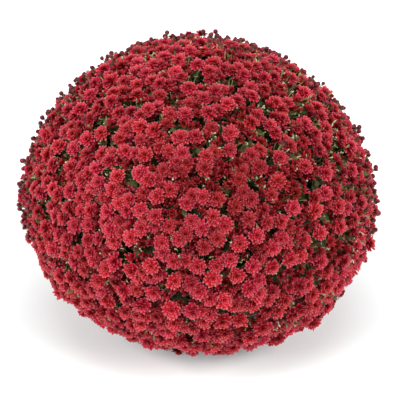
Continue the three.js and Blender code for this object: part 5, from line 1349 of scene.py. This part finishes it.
# leaves on the inner stems: each tuft grows on a twig of the branch beside it
stems = [np.array(row[0], float) for row in BRANCHES]
for i in range(8):
    lo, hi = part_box("inner_leaves_" + two(i + 1))
    c = np.array([(lo[k] + hi[k]) * 500 for k in range(3)])
    best = min(((np.sum((p - c) ** 2), b, j) for b in range(1, 9) for j, p in enumerate(stems[b][:-1])))
    p0, p1 = stems[best[1]][best[2]], stems[best[1]][best[2] + 1]
    out = unit(np.array([c[0], c[1], 0.0]))
    g, w = Geo(), Geo()
    twig = curve(p0[None], unit(p1 - p0)[None] * 22, (c + out * 10)[None], (out + np.array([0, 0, 0.5]))[None] * 14, 9)
    tube(w, twig, np.linspace(2.0, 1.1, 9)[None], 6, (np.full(1, 1.0), np.full(1, 2.0)))
    n = 12
    at = rng.uniform(0.30, 1.0, n)
    foot = twig[0][np.round(at * 8).astype(int)]
    D = unit(out * 0.5 + rng.normal(size=(n, 3)) * 0.8)
    N_ = unit(np.array([0, 0, 1.0]) + rng.normal(size=(n, 3)) * 0.3)
    N_ = unit(N_ - D * np.sum(N_ * D, 1, keepdims=True))
    L_ = rng.uniform(22, 34, n)
    pet = curve(foot, D * 1.5, foot + D * 4.0, D * 1.5, 3)
    tube(w, pet, np.full((n, 3), 0.8), 4, (np.full(n, 1.0), np.full(n, 2.0)))
    leaves(g, foot + D * 3.6, D, N_, L_, rng.uniform(0.85, 1.1, n), rng.uniform(0.05, 0.4, n), rng.uniform(0.1, 0.9, n),
           rng.uniform(0, 0.1, n), (rng.integers(0, 4, n).astype(float), rng.integers(0, 2, n).astype(float)))
    g.make("tuft_" + two(i + 1), [LEAF], "leaf", ["inner_leaves_" + two(i + 1)])
    w.make("twig_" + two(i + 1), [STEM], "green_stem", ["inner_leaves_" + two(i + 1)])


def mesh_object(name, verts, faces, mat, smooth=True):
    me = bpy.data.meshes.new(name)
    me.from_pydata([tuple(v) for v in verts], [], [tuple(int(x) for x in f) for f in faces])
    me.polygons.foreach_set("use_smooth", np.full(len(me.polygons), smooth))
    me.update()
    me.materials.append(mat)
    ob = bpy.data.objects.new(name, me)
    bpy.context.scene.collection.objects.link(ob)
    return ob


def ripple(x, y, k=1.0):
    """Uneven ground, in mm."""
    return k * (1.3 * np.sin(x * 0.11 + 1.0) * np.cos(y * 0.13) + 0.9 * np.sin(x * 0.31 + y * 0.23) + 0.6 * np.cos(x * 0.57 - y * 0.49 + 2))


# potting mix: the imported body's own outline with an uneven, crumbly top
SIDES_, RINGS = 96, 34
soil_lo, soil_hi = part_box("potting_mix")
top, foot_z, rim_r = 140.0, soil_lo[2] / MM, soil_hi[0] / MM
V_, F_ = [], []
rad_list = list(np.linspace(3, rim_r - 4.2, RINGS))
for r in rad_list:
    for a in np.arange(SIDES_) * 2 * np.pi / SIDES_:
        x, y = r * np.cos(a), r * np.sin(a)
        edge = np.clip((rim_r - 4.2 - r) / 10, 0, 1)
        z = top - 0.3 + edge * (ripple(x, y, 0.55) + rng.normal() * 0.45) + 1.2 * np.exp(-((r - 27) / 9) ** 2)
        V_.append((x, y, min(z, top + 1.6)))
for r, z in ((rim_r - 0.6, top - 1.6), (rim_r - 0.3, top - 3), (rim_r - 33.4, 8.3), (rim_r - 35.6, foot_z)):
    for a in np.arange(SIDES_) * 2 * np.pi / SIDES_:
        V_.append((r * np.cos(a), r * np.sin(a), z))
V_ = np.array(V_)
nr = len(rad_list) + 4
for j in range(nr - 1):
    for i in range(SIDES_):
        i2 = (i + 1) % SIDES_
        F_.append((j * SIDES_ + i, (j + 1) * SIDES_ + i, (j + 1) * SIDES_ + i2, j * SIDES_ + i2))
F_.append(tuple(range(SIDES_)))
F_.append(tuple(reversed(range((nr - 1) * SIDES_, nr * SIDES_))))
soil = mesh_object("soil", V_ * MM, F_, SOIL)
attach(soil, "root"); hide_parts("potting_mix")


def pebbles(name, n, size, mat, flat=0.8):
    """Irregular crumbs lying half sunk in the mix."""
    base_v = np.array([(1, 0, 0), (-1, 0, 0), (0, 1, 0), (0, -1, 0), (0, 0, 1), (0, 0, -1),
                       (.62, .62, .5), (-.62, .62, .5), (-.62, -.62, .5), (.62, -.62, .5)], float)
    base_f = np.array([(6, 7, 4), (7, 8, 4), (8, 9, 4), (9, 6, 4), (0, 2, 6), (2, 7, 6), (2, 1, 7), (1, 8, 7), (1, 3, 8), (3, 9, 8),
                       (3, 0, 9), (0, 6, 9), (2, 0, 5), (1, 2, 5), (3, 1, 5), (0, 3, 5)])
    vs, fs = [], []
    for i in range(n):
        r = 28 + (rim_r - 8 - 28) * math.sqrt(rng.random()); a = rng.uniform(0, 6.2832)
        s = rng.uniform(*size)
        m = np.linalg.qr(rng.normal(size=(3, 3)))[0]
        v = (base_v * rng.uniform(0.6, 1.15, (10, 1)) * np.array([1, rng.uniform(.6, 1), flat])) @ m.T * s
        x, y = r * np.cos(a), r * np.sin(a)
        v += (x, y, top + ripple(x, y, 0.55) - 0.1 + s * 0.15)
        fs.append(base_f + len(vs) * 10); vs.append(v)
    ob = mesh_object(name, np.concatenate(vs) * MM, np.concatenate(fs), mat, False)
    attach(ob, "root")
    return ob


pebbles("crumbs", 300, (1.2, 3.0), SOIL)
pebbles("grit", 90, (1.0, 2.0), GRIT)

# crown: a gnarled stump that the branches leave
V_, F_ = [], []
prof = [(6, 127), (20.6, 127), (22.5, 133), (24.6, 139), (24.9, 143), (24.2, 148), (22.6, 153), (19.4, 158), (15.5, 162), (10.5, 165), (5, 166)]
S_ = 40
for r, z in prof:
    for a in np.arange(S_) * 2 * np.pi / S_:
        lobe = 0.035 * np.cos(8 * a + z * 0.05) + 0.03 * np.sin(13 * a + z * 0.21) + 0.02 * rng.normal()
        rr = min(r * (1 + (lobe if z > 128 else 0)), 25.6)
        V_.append((rr * np.cos(a), rr * np.sin(a), z))
for j in range(len(prof) - 1):
    for i in range(S_):
        i2 = (i + 1) % S_
        F_.append((j * S_ + i, j * S_ + i2, (j + 1) * S_ + i2, (j + 1) * S_ + i))
F_.append(tuple(reversed(range(S_)))); F_.append(tuple(range((len(prof) - 1) * S_, len(prof) * S_)))
crown = mesh_object("stump", np.array(V_) * MM, F_, BARK)
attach(crown, "root"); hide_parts("crown")

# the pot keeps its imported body, with softened edges
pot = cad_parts["pot"]
pot.data.materials.clear()
pot.data.materials.append(POT)
bev = pot.modifiers.new("edges", "BEVEL")
bev.width = 0.0007; bev.segments = 2; bev.limit_method = "ANGLE"; bev.angle_limit = math.radians(40)
for p in pot.data.polygons:
    p.use_smooth = True
wn = pot.modifiers.new("normals", "WEIGHTED_NORMAL")
wn.keep_sharp = True

# ------------------------------------------------------- floor, light, camera
floor_m = Nodes("paper", rough=0.9, spec=0.1)
floor_m.b.inputs["Base Color"].default_value = (0.845, 0.868, 0.866, 1)
me = bpy.data.meshes.new("paper")
me.from_pydata([(-30, -30, 0), (30, -30, 0), (30, 30, 0), (-30, 30, 0)], [], [(0, 1, 2, 3)])
me.materials.append(floor_m.m)
floor = bpy.data.objects.new("paper", me)
bpy.context.scene.collection.objects.link(floor)

world = bpy.data.worlds.new("white")
bpy.context.scene.world = world
world.use_nodes = True
world.node_tree.nodes["Background"].inputs[0].default_value = (1, 1, 1, 1)
world.node_tree.nodes["Background"].inputs[1].default_value = WORLD


def lamp(name, round_, height, spread, power):
    """A broad far lamp: round_ is degrees from the front towards the right, height its elevation, spread its width."""
    d = bpy.data.lights.new(name, "SUN")
    d.angle = math.radians(spread); d.energy = power
    o = bpy.data.objects.new(name, d)
    bpy.context.scene.collection.objects.link(o)
    a, h = math.radians(round_), math.radians(height)
    o.location = (4 * math.cos(h) * math.sin(a), -4 * math.cos(h) * math.cos(a), 4 * math.sin(h))
    o.rotation_euler = (-Vector(o.location)).to_track_quat("-Z", "Y").to_euler()
    return o


for args in LIGHTS:
    lamp(*args)

cam_d = bpy.data.cameras.new("camera")
cam_d.sensor_width = 36.0
cam_d.lens = LENS
cam_d.clip_end = 100
cam = bpy.data.objects.new("camera", cam_d)
bpy.context.scene.collection.objects.link(cam)
cam.location = Vector(EYE) * MM
cam.rotation_euler = (Vector(AIM) - Vector(EYE)).to_track_quat("-Z", "Y").to_euler()
bpy.context.scene.camera = cam

sc = bpy.context.scene
sc.view_settings.view_transform = "Standard"
sc.view_settings.look = "None"
sc.view_settings.exposure = 0.0
sc.view_settings.gamma = 1.0

print("TRIANGLES", sum(TRIS.values()), "largest", max(TRIS.items(), key=lambda t: t[1]), "pieces", len(TRIS))
